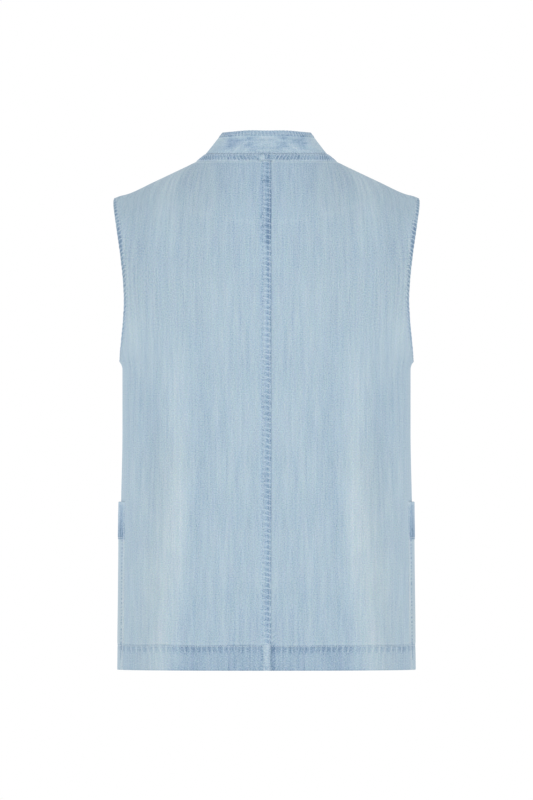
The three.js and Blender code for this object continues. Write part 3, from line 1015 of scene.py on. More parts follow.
@dataclass(frozen=True)
class WashedDenim:
    """Light indigo denim, woven from slub yarn, stone-washed and bleached.

    The eye sees a pale, chalky blue with upright streaks where the yarn thickens, dark
    indigo left in the puckers, and white wear on raised seams. It has no gloss. The real
    twill line is 0.7 mm apart, too fine to show, so the grain is drawn at 1.6 mm.
    """

    name: str = "washed_denim"
    dark: str = "#67829f"
    deep: str = "#8fa7be"
    mid: str = "#a5bbcb"
    pale: str = "#b6c8d4"
    worn: str = "#ccd6dd"
    slub: float = 0.21
    streak: float = 0.27
    broad: float = 0.14
    cloud: float = 0.11
    grain: float = 0.66
    ragged: float = 1.1
    hue: float = 0.2

    def build(self) -> bpy.types.Material:
        """Builds the material's nodes.

        Returns:
            The material.
        """
        material, tree = new_material(self.name)
        cloth, seam = (
            add_node(tree, "ShaderNodeUVMap", {}, uv_map=name).outputs["UV"]
            for name in ("cloth", "seam")
        )
        fade, rag, cast, pull, crimp = (
            add_node(tree, "ShaderNodeAttribute", {}, attribute_name=name).outputs["Fac"]
            for name in ("fade", "rag", "cast", "pull", "crimp")
        )

        def noise(
            across: float, along: float, detail: float, output: int = 0
        ) -> bpy.types.NodeSocket:
            """Noise with its own pitch across and along the warp.

            Args:
                across: pitch across the warp, in millimetres.
                along: pitch along it, in millimetres.
                detail: how many finer noises are added.
                output: 0 for one value and 1 for a colour.

            Returns:
                The noise's socket.
            """
            place = add_node(
                tree,
                "ShaderNodeMapping",
                {"Vector": cloth, "Scale": (1 / (across * MM), 1 / (along * MM), 1.0)},
            ).outputs[0]
            sockets = {"Vector": place, "Scale": 1.0, "Detail": detail, "Roughness": 0.55}
            return add_node(
                tree, "ShaderNodeTexNoise", sockets, noise_dimensions="2D"
            ).outputs[output]

        # Pitch across and along the warp in millimetres, share of the tone, and detail:
        # slub yarns, streaks of them, broader bands, clouds of the wash, and the weave.
        layers = (
            (1.9, 26.0, self.slub, 2.0),
            (3.6, 75.0, self.streak, 2.0),
            (11.0, 190.0, self.broad, 1.0),
            (44.0, 80.0, self.cloud, 2.0),
            (1.5, 1.6, self.grain, 1.0),
        )
        terms = [(noise(across, along, detail), share) for across, along, share, detail in layers]
        weave, total = terms[-1][0], sum(share for _, share in terms)
        # The dye breaks up raggedly beside the seams, in patches about 2 mm long.
        patches = noise(2.1, 2.3, 1.0)
        for operation, number in (("SUBTRACT", 0.5), ("MULTIPLY", self.ragged)):
            patches = add_node(
                tree, "ShaderNodeMath", {0: patches, 1: number}, operation=operation
            ).outputs[0]
        terms.append((patches, rag))
        # Beside a seam each pucker holds a dark cell of dye, and worn pale lines part them.
        puckers = ((pull, 1.0, 0.19, 0.22, -0.17), (crimp, 2.0, 0.28, 0.16, -0.12))
        for strength, scale, reach, line, cell in puckers:
            apart = add_node(
                tree,
                "ShaderNodeTexVoronoi",
                {"Vector": seam, "Scale": scale, "Randomness": 0.27},
                voronoi_dimensions="2D",
                feature="DISTANCE_TO_EDGE",
            ).outputs["Distance"]
            depth = add_node(
                tree,
                "ShaderNodeMapRange",
                {"Value": apart, 1: 0.03, 2: reach, 3: line, 4: cell},
                interpolation_type="SMOOTHSTEP",
            ).outputs[0]
            terms.append((depth, strength))
        # The tone is half of the wash, painted highlights and shade included, and a middle grey,
        # with every term times its share.
        tone = 0.5 - total / 2
        for value, share in [(fade, 0.5), *terms]:
            tone = add_node(
                tree, "ShaderNodeMath", {0: value, 1: share, 2: tone}, operation="MULTIPLY_ADD"
            ).outputs[0]
        ramp = add_node(tree, "ShaderNodeValToRGB", {"Fac": tone})
        stops = (
            (0.0, self.dark),
            (0.25, self.deep),
            (0.5, self.mid),
            (0.75, self.pale),
            (1.0, self.worn),
        )
        elements = ramp.color_ramp.elements
        while len(elements) < len(stops):
            elements.new(0.5)
        for element, (place, colour) in zip(elements, stops):
            element.position = place
            element.color = linear(colour)
        # The cast greys the colour, partly where the indigo has gone grey and partly as painted
        # shade on the shoulders, and the yarns have faded unevenly: some are a little greener, some
        # more violet.
        tints = [(cast, (1.0, 0.958, 0.905, 1.0))]
        for across, along, share in ((1.6, 1.8, self.hue), (7.0, 40.0, self.hue / 4)):
            tint = add_node(
                tree,
                "ShaderNodeVectorMath",
                {0: noise(across, along, 1.0, 1), 1: (share,) * 3, 2: (1 - share / 2,) * 3},
                operation="MULTIPLY_ADD",
            ).outputs[0]
            tints.append((1.0, tint))
        colour = ramp.outputs["Color"]
        for share, tint in tints:
            colour = add_node(
                tree,
                "ShaderNodeMix",
                {0: share, 6: colour, 7: tint},
                data_type="RGBA",
                blend_type="MULTIPLY",
            ).outputs[2]
        bump = add_node(
            tree,
            "ShaderNodeBump",
            {"Height": weave, "Strength": 0.3, "Distance": 0.3 * MM},
        ).outputs[0]
        shader = add_node(
            tree,
            "ShaderNodeBsdfPrincipled",
            {
                "Base Color": colour,
                "Normal": bump,
                "Roughness": 0.93,
                "Specular IOR Level": 0.18,
                "Sheen Weight": 0.06,
                "Sheen Roughness": 0.6,
            },
        ).outputs[0]
        add_node(tree, "ShaderNodeOutputMaterial", {"Surface": shader})
        return material


@dataclass(frozen=True)
class PolyesterThread:
    """Core-spun polyester sewing thread, dyed to match, faded with the cloth.

    The eye sees a row of tiny pale bars with a faint sheen.
    """

    name: str = "tonal_sewing_thread"
    shade: str = "#b2c3d0"
    light: str = "#c9d5de"

    def build(self) -> bpy.types.Material:
        """Builds the material's nodes.

        Returns:
            The material.
        """
        material, tree = new_material(self.name)
        place = add_node(tree, "ShaderNodeTexCoord", {}).outputs["Object"]
        # Plies show as a fine change of tone, 0.9 mm long.
        ply = add_node(
            tree, "ShaderNodeTexNoise", {"Vector": place, "Scale": 1 / (0.9 * MM), "Detail": 1.0}
        ).outputs[0]
        ramp = add_node(tree, "ShaderNodeValToRGB", {"Fac": ply})
        ramp.color_ramp.elements[0].color = linear(self.shade)
        ramp.color_ramp.elements[1].color = linear(self.light)
        shader = add_node(
            tree,
            "ShaderNodeBsdfPrincipled",
            {"Base Color": ramp.outputs["Color"], "Roughness": 0.6, "Specular IOR Level": 0.3},
        ).outputs[0]
        add_node(tree, "ShaderNodeOutputMaterial", {"Surface": shader})
        return material


@dataclass(frozen=True)
class PaperFloor:
    """Matt white studio paper, which the eye sees as an even pale ground."""

    name: str = "studio_paper"
    colour: str = "#f4f4f3"

    def build(self) -> bpy.types.Material:
        """Builds the material's nodes.

        Returns:
            The material.
        """
        material, tree = new_material(self.name)
        shader = add_node(
            tree,
            "ShaderNodeBsdfPrincipled",
            {"Base Color": linear(self.colour), "Roughness": 0.95, "Specular IOR Level": 0.1},
        ).outputs[0]
        add_node(tree, "ShaderNodeOutputMaterial", {"Surface": shader})
        return material


@dataclass(frozen=True)
class Finishes:
    """Every finish of the vest, built once."""

    right_side: bpy.types.Material
    wrong_side: bpy.types.Material
    thread: bpy.types.Material

    @property
    def cloth(self) -> tuple[bpy.types.Material, bpy.types.Material]:
        """The cloth's right side and its wrong side."""
        return self.right_side, self.wrong_side


# The pieces that a maker cuts and sews.


def edge_steps(spacings: list[tuple[float, float]]) -> np.ndarray:
    """Distances in from an edge, fine at the fold and coarser after it.

    Args:
        spacings: pairs of a distance and the spacing used up to it.

    Returns:
        The distances, from 0 to the last one given.
    """
    lines, start = [np.array([0.0, 0.3, 0.8])], 0.8
    for stop, spacing in spacings:
        count = max(int(round((stop - start) / spacing)), 1)
        lines.append(np.linspace(start, stop, count + 1)[1:])
        start = stop
    return np.concatenate(lines)


def rounded(distance: Values) -> np.ndarray:
    """How far a skin draws in at a folded edge: a quarter circle over 0.8 mm."""
    near = np.clip(1 - np.asarray(distance) / 0.8, 0, 1)
    return 0.5 * (1 - np.sqrt(1 - near**2))


@dataclass
class Look:
    """What one zone adds: relief, wash with painted highlights and shade, how ragged that is,
    unfaded blue and puckers.
    """

    relief: np.ndarray
    fade: np.ndarray
    rag: np.ndarray
    dye: np.ndarray | float = 0.0
    seam: Seam | None = None

    def __add__(self, other: "Look") -> "Look":
        """Both zones together: reliefs and tones, painted light and shade included, add up, and the
        strongest of the rest.

        Args:
            other: the look of another zone, on the same grid.

        Returns:
            The look of both.
        """
        rag, dye = np.maximum(self.rag, other.rag), np.maximum(self.dye, other.dye)
        seam = self.seam or other.seam
        if self.seam and other.seam:
            seam = self.seam.over(other.seam)
        return Look(self.relief + other.relief, self.fade + other.fade, rag, dye, seam)


@dataclass
class Panel:
    """A back or a front, with its bottom hem, its armhole hem and its inner margin."""

    face: Face
    side: Side
    start: float
    band: float
    lap: float
    seed: int
    row_pitch: float
    column_pitch: float
    flat: tuple[float, float]
    flat_area: float

    @property
    def name(self) -> str:
        """The solid's name."""
        return f"{self.face.name.lower()}_{self.side.label}"

    def rows(self) -> np.ndarray:
        """Row numbers from the hem to the neck seam.

        Returns:
            The row numbers, in rising order.
        """
        pitch = self.row_pitch
        hem = HEM_Z + edge_steps([(19.0, 1.9), (31.5, 1.15), (FINE_HEM, 0.75)])
        count = int((UNDERARM_Z - HEM_Z - FINE_HEM) / pitch)
        lower = np.linspace(HEM_Z + FINE_HEM, UNDERARM_Z, count + 1)[1:]
        arm = np.linspace(1, 2, int(ARMHOLE_RISE / pitch) + 1)[1:]
        # The last row stops just short of the neck seam, 3.
        top = np.linspace(2, 3 - 0.3 / 120, int(SHOULDER_RISE / pitch) + 1)[1:]
        return made_odd(np.concatenate([lower_v(hem), lower_v(lower), arm, top]))

    def columns(self, v: np.ndarray) -> np.ndarray:
        """Distances along each row, fine at both margins.

        Args:
            v: the row numbers.

        Returns:
            The distances, with a line for each row.
        """
        rows = FormRows(self.face, v)
        sewn = ((v <= 1) | (v >= 2)).astype(float)
        last = rows.length - sewn * SEAM_GAP / 2
        near = edge_steps([(self.band + 4 if self.band else 6.0, 1.05)])
        far = edge_steps([(12.0, 1.0)])
        first = self.start + near[-1]
        stop = last - far[-1]
        share = np.linspace(0, 1, int(OPEN_WIDTH / self.column_pitch))[1:-1]
        middle = first + (stop[:, None] - first) * share[None, :]
        start = np.broadcast_to(self.start + near, (len(v), len(near)))
        return made_odd(np.concatenate([start, middle, last[:, None] - far[None, ::-1]], axis=1))

    def shell(self) -> Shell:
        """Works out the panel's wall, its relief and its wash, with painted highlights and shade.

        The outer skin is the form, plus the folds, the lap, the raised margins, the
        stitch grooves and the puckers that fade away from each row of stitches.

        Returns:
            The wall.
        """
        v = self.rows()
        cloth = Cloth(self.face, v, self.columns(v))
        x, up, end = cloth.along, cloth.up, cloth.end
        z, out = cloth.point[..., 2], np.abs(cloth.point[..., 0])
        look = self.body_zone(z, out, cloth.rise)
        for zone in (self.hem_zone, self.armhole_zone, self.inner_zone, self.side_zone):
            look = look + zone(cloth)
        # The fronts lap, and folded edges draw in.
        lift = self.lap * (1 - smooth((x - LAP) / LAP_FADE))
        arm = ((v > 1) & (v < 2))[:, None]
        draw = rounded(np.minimum(np.where(arm, end, 99.0), up))
        # Turned hems are thicker towards the inside.
        hem = inside(up, -1, HEM_DEPTH, 0.8)
        arm_row = inside(v, 1.0, 2.0, 0.01)[:, None]
        turned = np.maximum(hem, arm_row * inside(end, -1, ARMHOLE_HEM, 0.8))
        # The colour is greyed a little everywhere, more on the shoulders as a painted shade tint
        # where they slope away from the light, and in bands down the back.
        shoulder = smooth((z + 90) / 100) * smooth((out - 40) / 70)
        cast = 0.34 + 0.5 * shoulder
        cast += fold_rise(BACK_YELLOW_TINT, out, z) if self.face is Face.BACK else 0.1
        return Shell(
            self.name + "_cloth",
            cloth.point,
            cloth.normal,
            lift + look.relief - draw,
            lift - CLOTH - 0.7 * turned + draw,
            x,
            up,
            look.fade,
            look.rag,
            cast * (1 - look.dye),
            look.seam,
            self.side,
            2,
        )

    def body_zone(self, z: np.ndarray, out: np.ndarray, rise: np.ndarray) -> Look:
        """The open cloth: pale on its ridges, partly a painted highlight, painted shade on the
        upper panel where the shoulders slope away, with a press arc.

        Args:
            z: heights.
            out: distances from the middle, in the same shape.
            rise: how far the folds lift the cloth there.

        Returns:
            What the zone adds.
        """
        # Painted shade: darker towards the shoulders, which slope away from the light.
        fade = -0.12 * smooth((z + 190) / 170) - 0.10 * smooth((z + 60) / 60)
        if self.face is Face.FRONT:
            # A painted highlight on the folds' ridges.
            fade += 0.04 * rise
        else:
            # Bands of wash with painted highlights on the folds' ridges and painted shade in their
            # troughs.
            fade += fold_rise(BACK_WASH_AND_LIGHT_BANDS, out, z)
            arc = -54.6 + 35 * (out / 152) ** 2
            broken = 0.6 + 0.4 * wobble(out, 12, self.seed + 40)
            fade += 0.09 * np.exp(-(((z - arc) / 3.0) ** 2)) * (out < 150) * broken
        return Look(np.zeros_like(z), fade, np.full_like(z, 0.04))

    def hem_zone(self, cloth: Cloth) -> Look:
        """The bottom hem: a crease at its top, and dark tongues that hang below it.

        The crease wanders a little, and the puckers lie down where a pocket covers them.

        Args:
            cloth: the panel's grid.

        Returns:
            What the zone adds.
        """
        x, up = cloth.along, cloth.up + 0.8 * wobble(cloth.along, 52, self.seed + 9)
        band = inside(up, -9, HEM_DEPTH, 0.5)
        depth = HEM_ROOTS - up
        lean = x + 0.12 * depth * np.sign(x)
        ripple = pucker(lean, 7.2, self.seed + 3)
        hanging = tongues(lean, depth, 7.2, 9.5, self.seed + 3)
        wide = wobble(x, 17, self.seed + 4)
        # The puckers are deepest at the stitches and die away on both sides.
        root = trail(depth, 9.0) * band
        above = trail(-depth, 4.5) * (1 - band)
        bare = smooth((cloth.end - 12) / 20) if self.face is Face.BACK else 0.3
        # Relief: the turned hem, the stitches' groove and the puckers.
        height = RELIEF * band - 0.3 * bell(up, HEM_STITCHES, 0.7)
        puckers = (0.22 - 0.42 * hanging) * root + 0.2 * ripple * above + 0.22 * wide * root
        height += puckers * (0.3 + 0.7 * bare)
        # Tone: duller in the middle with dark tongues of dye under the crease, painted shade in the
        # crease along the hem's top with a pale line above it, darker along the bottom fold, and a
        # faint dark line lower in the hem.
        middle = 1 - smooth((np.abs(x) - 124) / 22)
        stain = 0.5 * blotch(x, up, 21, 13, self.seed + 5)
        weight = 0.85 + 0.3 * wobble(x, 23, self.seed + 10)
        tone = band * (-0.05 + 0.05 * blotch(x, up, 9, 12, self.seed + 6))
        tone -= 0.05 * hanging * weight + 0.04 * inside(depth, 1.5, 6.5, 3)
        tone -= band * (0.07 + middle * (0.13 + 0.12 * stain))
        crease = 0.75 + 0.25 * wobble(x, 9, self.seed + 8)
        # Painted shade in the crease along the hem's top.
        tone -= (0.34 - 0.22 * middle) * crease * bell(up, 32.9, 0.75)
        tone += 0.12 * bell(up, 34.9, 1.2)
        tone += 0.10 * ripple * above - 0.20 * bell(cloth.up, 0.4, 0.8)
        tone -= 0.10 * bell(up, 22.4, 0.9) * band * crease
        rag = band * (0.05 + 0.05 * middle) + 0.12 * root
        # The fell covers the hem's own marks.
        bare_seam = 1.0
        if self.face is Face.BACK and self.band:
            bare_seam = 1 - 0.85 * inside(cloth.along - self.start, -1, self.band - 1, 1.5)
        pull = inside(depth, 1.6, 6.6, 2.6) * weight * (0.95 - 0.35 * middle) * bare_seam
        places = lean / 7.4 - 0.00028 * np.sign(x) * np.maximum(np.abs(x) - 95, 0) ** 2
        seam = Seam.laid(places, (depth - 4.5) / 16 + CELL_ROW, pull, 0.3 * pull)
        return Look(height * bare_seam, tone * bare_seam, rag, 0.0, seam)

    def armhole_zone(self, cloth: Cloth) -> Look:
        """The armhole hem: slanting tongues from its stitches out to its edge.

        Args:
            cloth: the panel's grid.

        Returns:
            What the zone adds.
        """
        end, v = cloth.end, cloth.v
        rows = inside(v, 1.0, 2.0, 0.012)[:, None]
        edge = running(cloth.point[:, -1])[:, None]
        # The puckers slant, so they are counted along a leaning line.
        slant = edge - 0.7 * end
        ripple = pucker(slant, 7.2, self.seed + 11)
        fine = pucker(slant - 0.2 * end, 3.3, self.seed + 14)
        strip = inside(end, -1, ARMHOLE_HEM, 0.5)
        dark = smooth(1.3 * ripple + 0.35 * fine + 0.5) * inside(end, 0.4, 5.6, 3.2)
        past = trail(end - ARMHOLE_HEM, 4.0) * (1 - strip)
        # Relief: the turned edge, its puckers and groove, drawn in under the arm.
        height = RELIEF * strip - 0.42 * (dark - 0.4) * strip
        height += 0.12 * ripple * past - 0.28 * bell(end, ARMHOLE_STITCHES, 0.7)
        height -= 0.9 * trail(end, 3) * smooth((-60 - cloth.point[..., 2]) / 40)
        # Wash: dark in the puckers, more so low down, with pale wear past the stitches.
        stain = wobble(edge, 16, self.seed + 12)
        low = smooth((UNDERARM_Z + 95 - cloth.point[..., 2]) / 60)
        tone = strip * (-0.10 - 0.14 * dark * (1 + 0.3 * stain) - 0.10 * low + 0.06 * fine)
        tone += past * (0.04 + 0.10 * ripple) + 0.16 * bell(end, 9.8, 1.0)
        rag = (0.36 * strip + 0.14 * past) * rows
        pull = inside(end, 0.2, 7.0, 2.0) * (1.2 + 0.3 * stain) * rows
        crimp = 0.8 * inside(end, 3.0, 9.6, 1.6) * rows
        seam = Seam.laid(slant / 5.8, (end - 4) / 14 + CELL_ROW, pull, crimp)
        return Look(height * rows, tone * rows, rag, strip * rows * low, seam)

    def inner_zone(self, cloth: Cloth) -> Look:
        """The margin at the panel's inner edge: a fell, a plain seam or a front turning.

        Args:
            cloth: the panel's grid.

        Returns:
            What the zone adds.
        """
        e, up = cloth.along - self.start, cloth.up
        if self.face is Face.FRONT:
            strip = inside(e, -1, self.band, 0.6)
            outer = tongues(up, 30.6 - e, 7.0, 8.0, self.seed + 21)
            edge = tongues(up, e - 1.4, 6.6, 5.0, self.seed + 22)
            first, last = FRONT_STITCHES
            grooves = bell(e, first, 0.7) + bell(e, last, 0.7)
            height = RELIEF * strip - 0.28 * grooves - 0.25 * strip * (outer + edge - 0.4)
            tone = strip * -0.08 - 0.16 * (outer + edge) - 0.35 * bell(e, 32.6, 0.8)
            rag = 0.35 * np.maximum(bell(e, first, 4), bell(e, last, 5)) * strip
            pull = inside(e, 25.5, 30.2, 3.0) + 0.9 * inside(e, 0.5, 5.0, 2.5)
            deep = np.where(e > 15, 27 - e, e - 3.5) / 13 + CELL_ROW
            return Look(height, tone, rag, 0.0, Seam.laid(up / 6.8, deep, pull, 0.3 * pull))
        if not self.band:
            # Under the fell: a plain seam, with painted shade beside the fell where the hem meets
            # it, and a fan of puckers.
            z = cloth.point[..., 2]
            low = inside(up, -1, HEM_DEPTH + 2, 4)
            fan = pucker(up - 0.9 * e, 5.5, self.seed + 23) * inside(up, 12, 48, 8) * bell(e, 4, 5)
            tone = -0.10 * bell(e, 0, 0.8) + 0.12 * bell(e, 2.0, 1.2) * smooth((z + 90) / 60)
            tone += 0.20 * fan - 0.34 * low * inside(e, -1, 4.5, 2.5)
            return Look(-0.1 * trail(e, 0.9), tone, 0.1 * trail(e, 3))
        return self.fell(cloth, e, up)

    def fell(self, cloth: Cloth, e: np.ndarray, up: np.ndarray) -> Look:
        """The felled seam: a raised strip with a dark block of indigo in every pucker.

        Blocks lie up to 5 mm from the seam line. Past them finer branches slant away, with
        needle dots at 9 mm and a worn fringe. Two old stains cross it near the top, and
        where it runs into the hem it is worn pale.

        Args:
            cloth: the panel's grid.
            e: distances from the seam line.
            up: distances up the cloth.

        Returns:
            What the fell adds.
        """
        z = cloth.point[..., 2]
        strip = inside(e, -1, FELL_WIDTH, 0.5)
        # Ripples along the seam: blocks beside it, then branches and a fringe that slant.
        wave = pucker(up + 0.15 * e, 7.6, self.seed + 31)
        block = smooth(2.0 * wave + 0.55) * (0.86 + 0.22 * wobble(up, 13, self.seed + 36))
        dots = holes_along(up, 2.7, 1.5, 9, self.seed)
        branch = pucker(up - 0.85 * e, 3.8, self.seed + 32)
        fringe = pucker(up - 0.85 * e, 5.6, self.seed + 34)
        # Relief: the raised strip, its grooves, hollows in the blocks, and the fringe.
        grooves = sum(bell(e, row, 0.7) for row in FELL_STITCHES)
        height = 0.75 * strip * (0.3 + 0.7 * smooth(e / 2.4)) - 0.10 * grooves
        height -= 0.30 * (block - 0.5) * inside(e, 1.5, 6.0, 1.5)
        height += 0.12 * fringe * trail(e - FELL_WIDTH, 3) * (1 - strip)
        # Wash: the dark core, branches and dots past it, and the worn fringe.
        high, low = smooth((z + 40) / 60), inside(up, -1, HEM_DEPTH, 3)
        core = inside(e, 0.6, 4.8, 0.9) * (1 - 0.8 * low)
        tone = core * (-0.19 - 0.06 * block)
        tone += inside(e, 5.5, 12.5, 1.4) * (0.06 * branch + 0.08 * dots - 0.09)
        tone += 0.12 * bell(e, FELL_STITCHES[1], 0.8) * dots
        tone += 0.24 * smooth(1.4 * fringe) * bell(e, 11.2, 2.0)
        # Two stains near the top, indigo left in patches, and a dark seam line.
        first, second = bell(z, -2, 5) * inside(e, 4, 12, 3.0), inside(z, -80, -42, 9)
        patchy = 0.75 + 0.5 * blotch(e, up, 5, 7, self.seed + 33)
        tone -= (0.40 * first + 0.32 * second * inside(e, 1.5, 13, 3.5)) * patchy
        tone -= 0.12 * smooth(blotch(e, up, 9, 30, self.seed + 35) * 2) * strip
        tone -= (0.12 + 0.22 * smooth((z + 110) / 70)) * bell(e, 0.1, 0.8)
        # Where the seam runs into the hem it is worn pale, with painted shade along its seam edge.
        worn = 0.20 + 0.26 * blotch(e, up, 2.2, 3.4, self.seed + 38)
        tone += low * (worn * inside(e, 3.4, 7.4, 1.4) + 0.14 * dots * bell(e, 6.4, 1.0))
        tone -= low * 0.36 * inside(e, -1, 1.8, 1.0) + 0.05 * low * bell(e, 11, 3)
        rag = 0.22 * strip + 0.30 * bell(e, 12, 3.5) + 0.15 * second * bell(e, 10, 8)
        pull = (0.45 * core + 0.52 * inside(e, 0.6, 10.6, 1.4) * (1 - low)) * (1 - 0.3 * high)
        crimp = 0.5 * inside(e, 4.6, 12.2, 1.2) + 0.35 * low * inside(e, 2, 9, 1)
        seam = Seam.laid((up - 0.2 * e) / 7.2, (e - 5.6) / 15 + CELL_ROW, pull, crimp)
        dye = inside(e, -1, 13, 3) * (1 - 0.7 * low)
        return Look(height, tone, np.minimum(rag, 0.8), dye, seam)

    def side_zone(self, cloth: Cloth) -> Look:
        """The side and shoulder seams: a crease, and needle holes down the back's side.

        Args:
            cloth: the panel's grid.

        Returns:
            What the zone adds.
        """
        end, v, up = cloth.end, cloth.v, cloth.up
        low = (1 - smooth((v - 0.985) / 0.015))[:, None]
        top = smooth((v - 2.0) / 0.02)[:, None]
        crease = trail(end, 0.9) * (low + top)
        height = -0.3 * crease - 1.1 * trail(end, 10.0) * low
        tone = -0.22 * crease
        rag = 0.3 * trail(end, 5.0) * (low + top)
        if self.face is Face.BACK:
            holes = smooth(0.5 + holes_along(up, 6.6, 2, 15, self.seed))
            height = height - 0.25 * bell(end, SIDE_STITCHES, 0.7) * low
            tone = tone + (0.12 - 0.42 * holes) * bell(end, SIDE_STITCHES, 1.2) * low
        # Along the foot of the neck band: a pale line, partly ragged wear and partly a painted
        # highlight beside the band's folded edge, and then a faint darker line.
        foot = (neck_v(BAND_FOOT_OUT) - v)[:, None] * 90
        tone = tone + 0.40 * bell(foot, 1.0, 1.6) - 0.08 * bell(foot, 4.6, 1.6)
        return Look(height, tone, rag + 0.4 * bell(foot, 1.5, 3.0))

    def dress(self, finishes: Finishes) -> list[bpy.types.Object]:
        """Builds the panel with its cloth and its rows of stitches.

        Args:
            finishes: the vest's finishes.

        Returns:
            The panel and its stitching.
        """
        shell = self.shell()
        piece = shell.build(finishes.cloth)
        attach(piece, "root")
        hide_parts(self.name)
        v, along = self.rows(), shell.across
        last = along[:, -1:] - along
        places = [nearest(shell.along[:, 0], HEM_STITCHES)]
        places.append(((v > 1) & (v < 2), nearest(last[len(v) // 2], ARMHOLE_STITCHES)))
        if self.band:
            margin = FELL_STITCHES if self.face is Face.BACK else FRONT_STITCHES
            places += [(slice(None), nearest(along[0] - self.start, e)) for e in margin]
        rows = shell.stitched(*places)
        if self.face is Face.BACK:
            rows += shell.stitched((v <= 1, nearest(last[3], SIDE_STITCHES)), pitch=3.4)
        thread = sew(self.name + "_stitching", rows, finishes.thread)
        return [piece, thread]


def joined(back: np.ndarray, front: np.ndarray) -> np.ndarray:
    """The back's columns and then the front's, with the one at the seam only once."""
    return np.concatenate([back, front[:, 1:]], axis=1)


@dataclass
class NeckRing:
    """Stations round the neck, from the centre front on the right round to the left.

    For each row number it gives the ring's points and normals. Both halves come from
    the same curve, mirrored.
    """

    v: np.ndarray
    end_gap: float
    pitch: float = 1.5
    point: np.ndarray = field(init=False)
    normal: np.ndarray = field(init=False)
    part: np.ndarray = field(init=False)
    run: np.ndarray = field(init=False)

    def __post_init__(self) -> None:
        """Lays both halves of the ring on the backs and the fronts."""
        lengths = row_lengths(self.v)
        counts = {face: int(lengths[face][-1] / self.pitch) for face in Face}
        share = np.linspace(0, 1, counts[Face.BACK] + 1)[None, :]
        back = Cloth(Face.BACK, self.v, lengths[Face.BACK][:, None] * share)
        gap = self.end_gap
        share = np.linspace(1, 0, counts[Face.FRONT] + 1)[None, :]
        front = Cloth(Face.FRONT, self.v, gap + (lengths[Face.FRONT][:, None] - gap) * share)
        point, normal = joined(back.point, front.point), joined(back.normal, front.normal)
        total = (lengths[Face.BACK] + lengths[Face.FRONT])[:, None]
        part = joined(back.along, total - front.along) / total
        mirror = np.array([-1, 1, 1])
        self.point = np.concatenate([point[:, :0:-1] * mirror, point], axis=1)
        self.normal = np.concatenate([normal[:, :0:-1] * mirror, normal], axis=1)
        self.part = np.concatenate([-part[:, :0:-1], part], axis=1)
        self.run = self.part * total[-1]


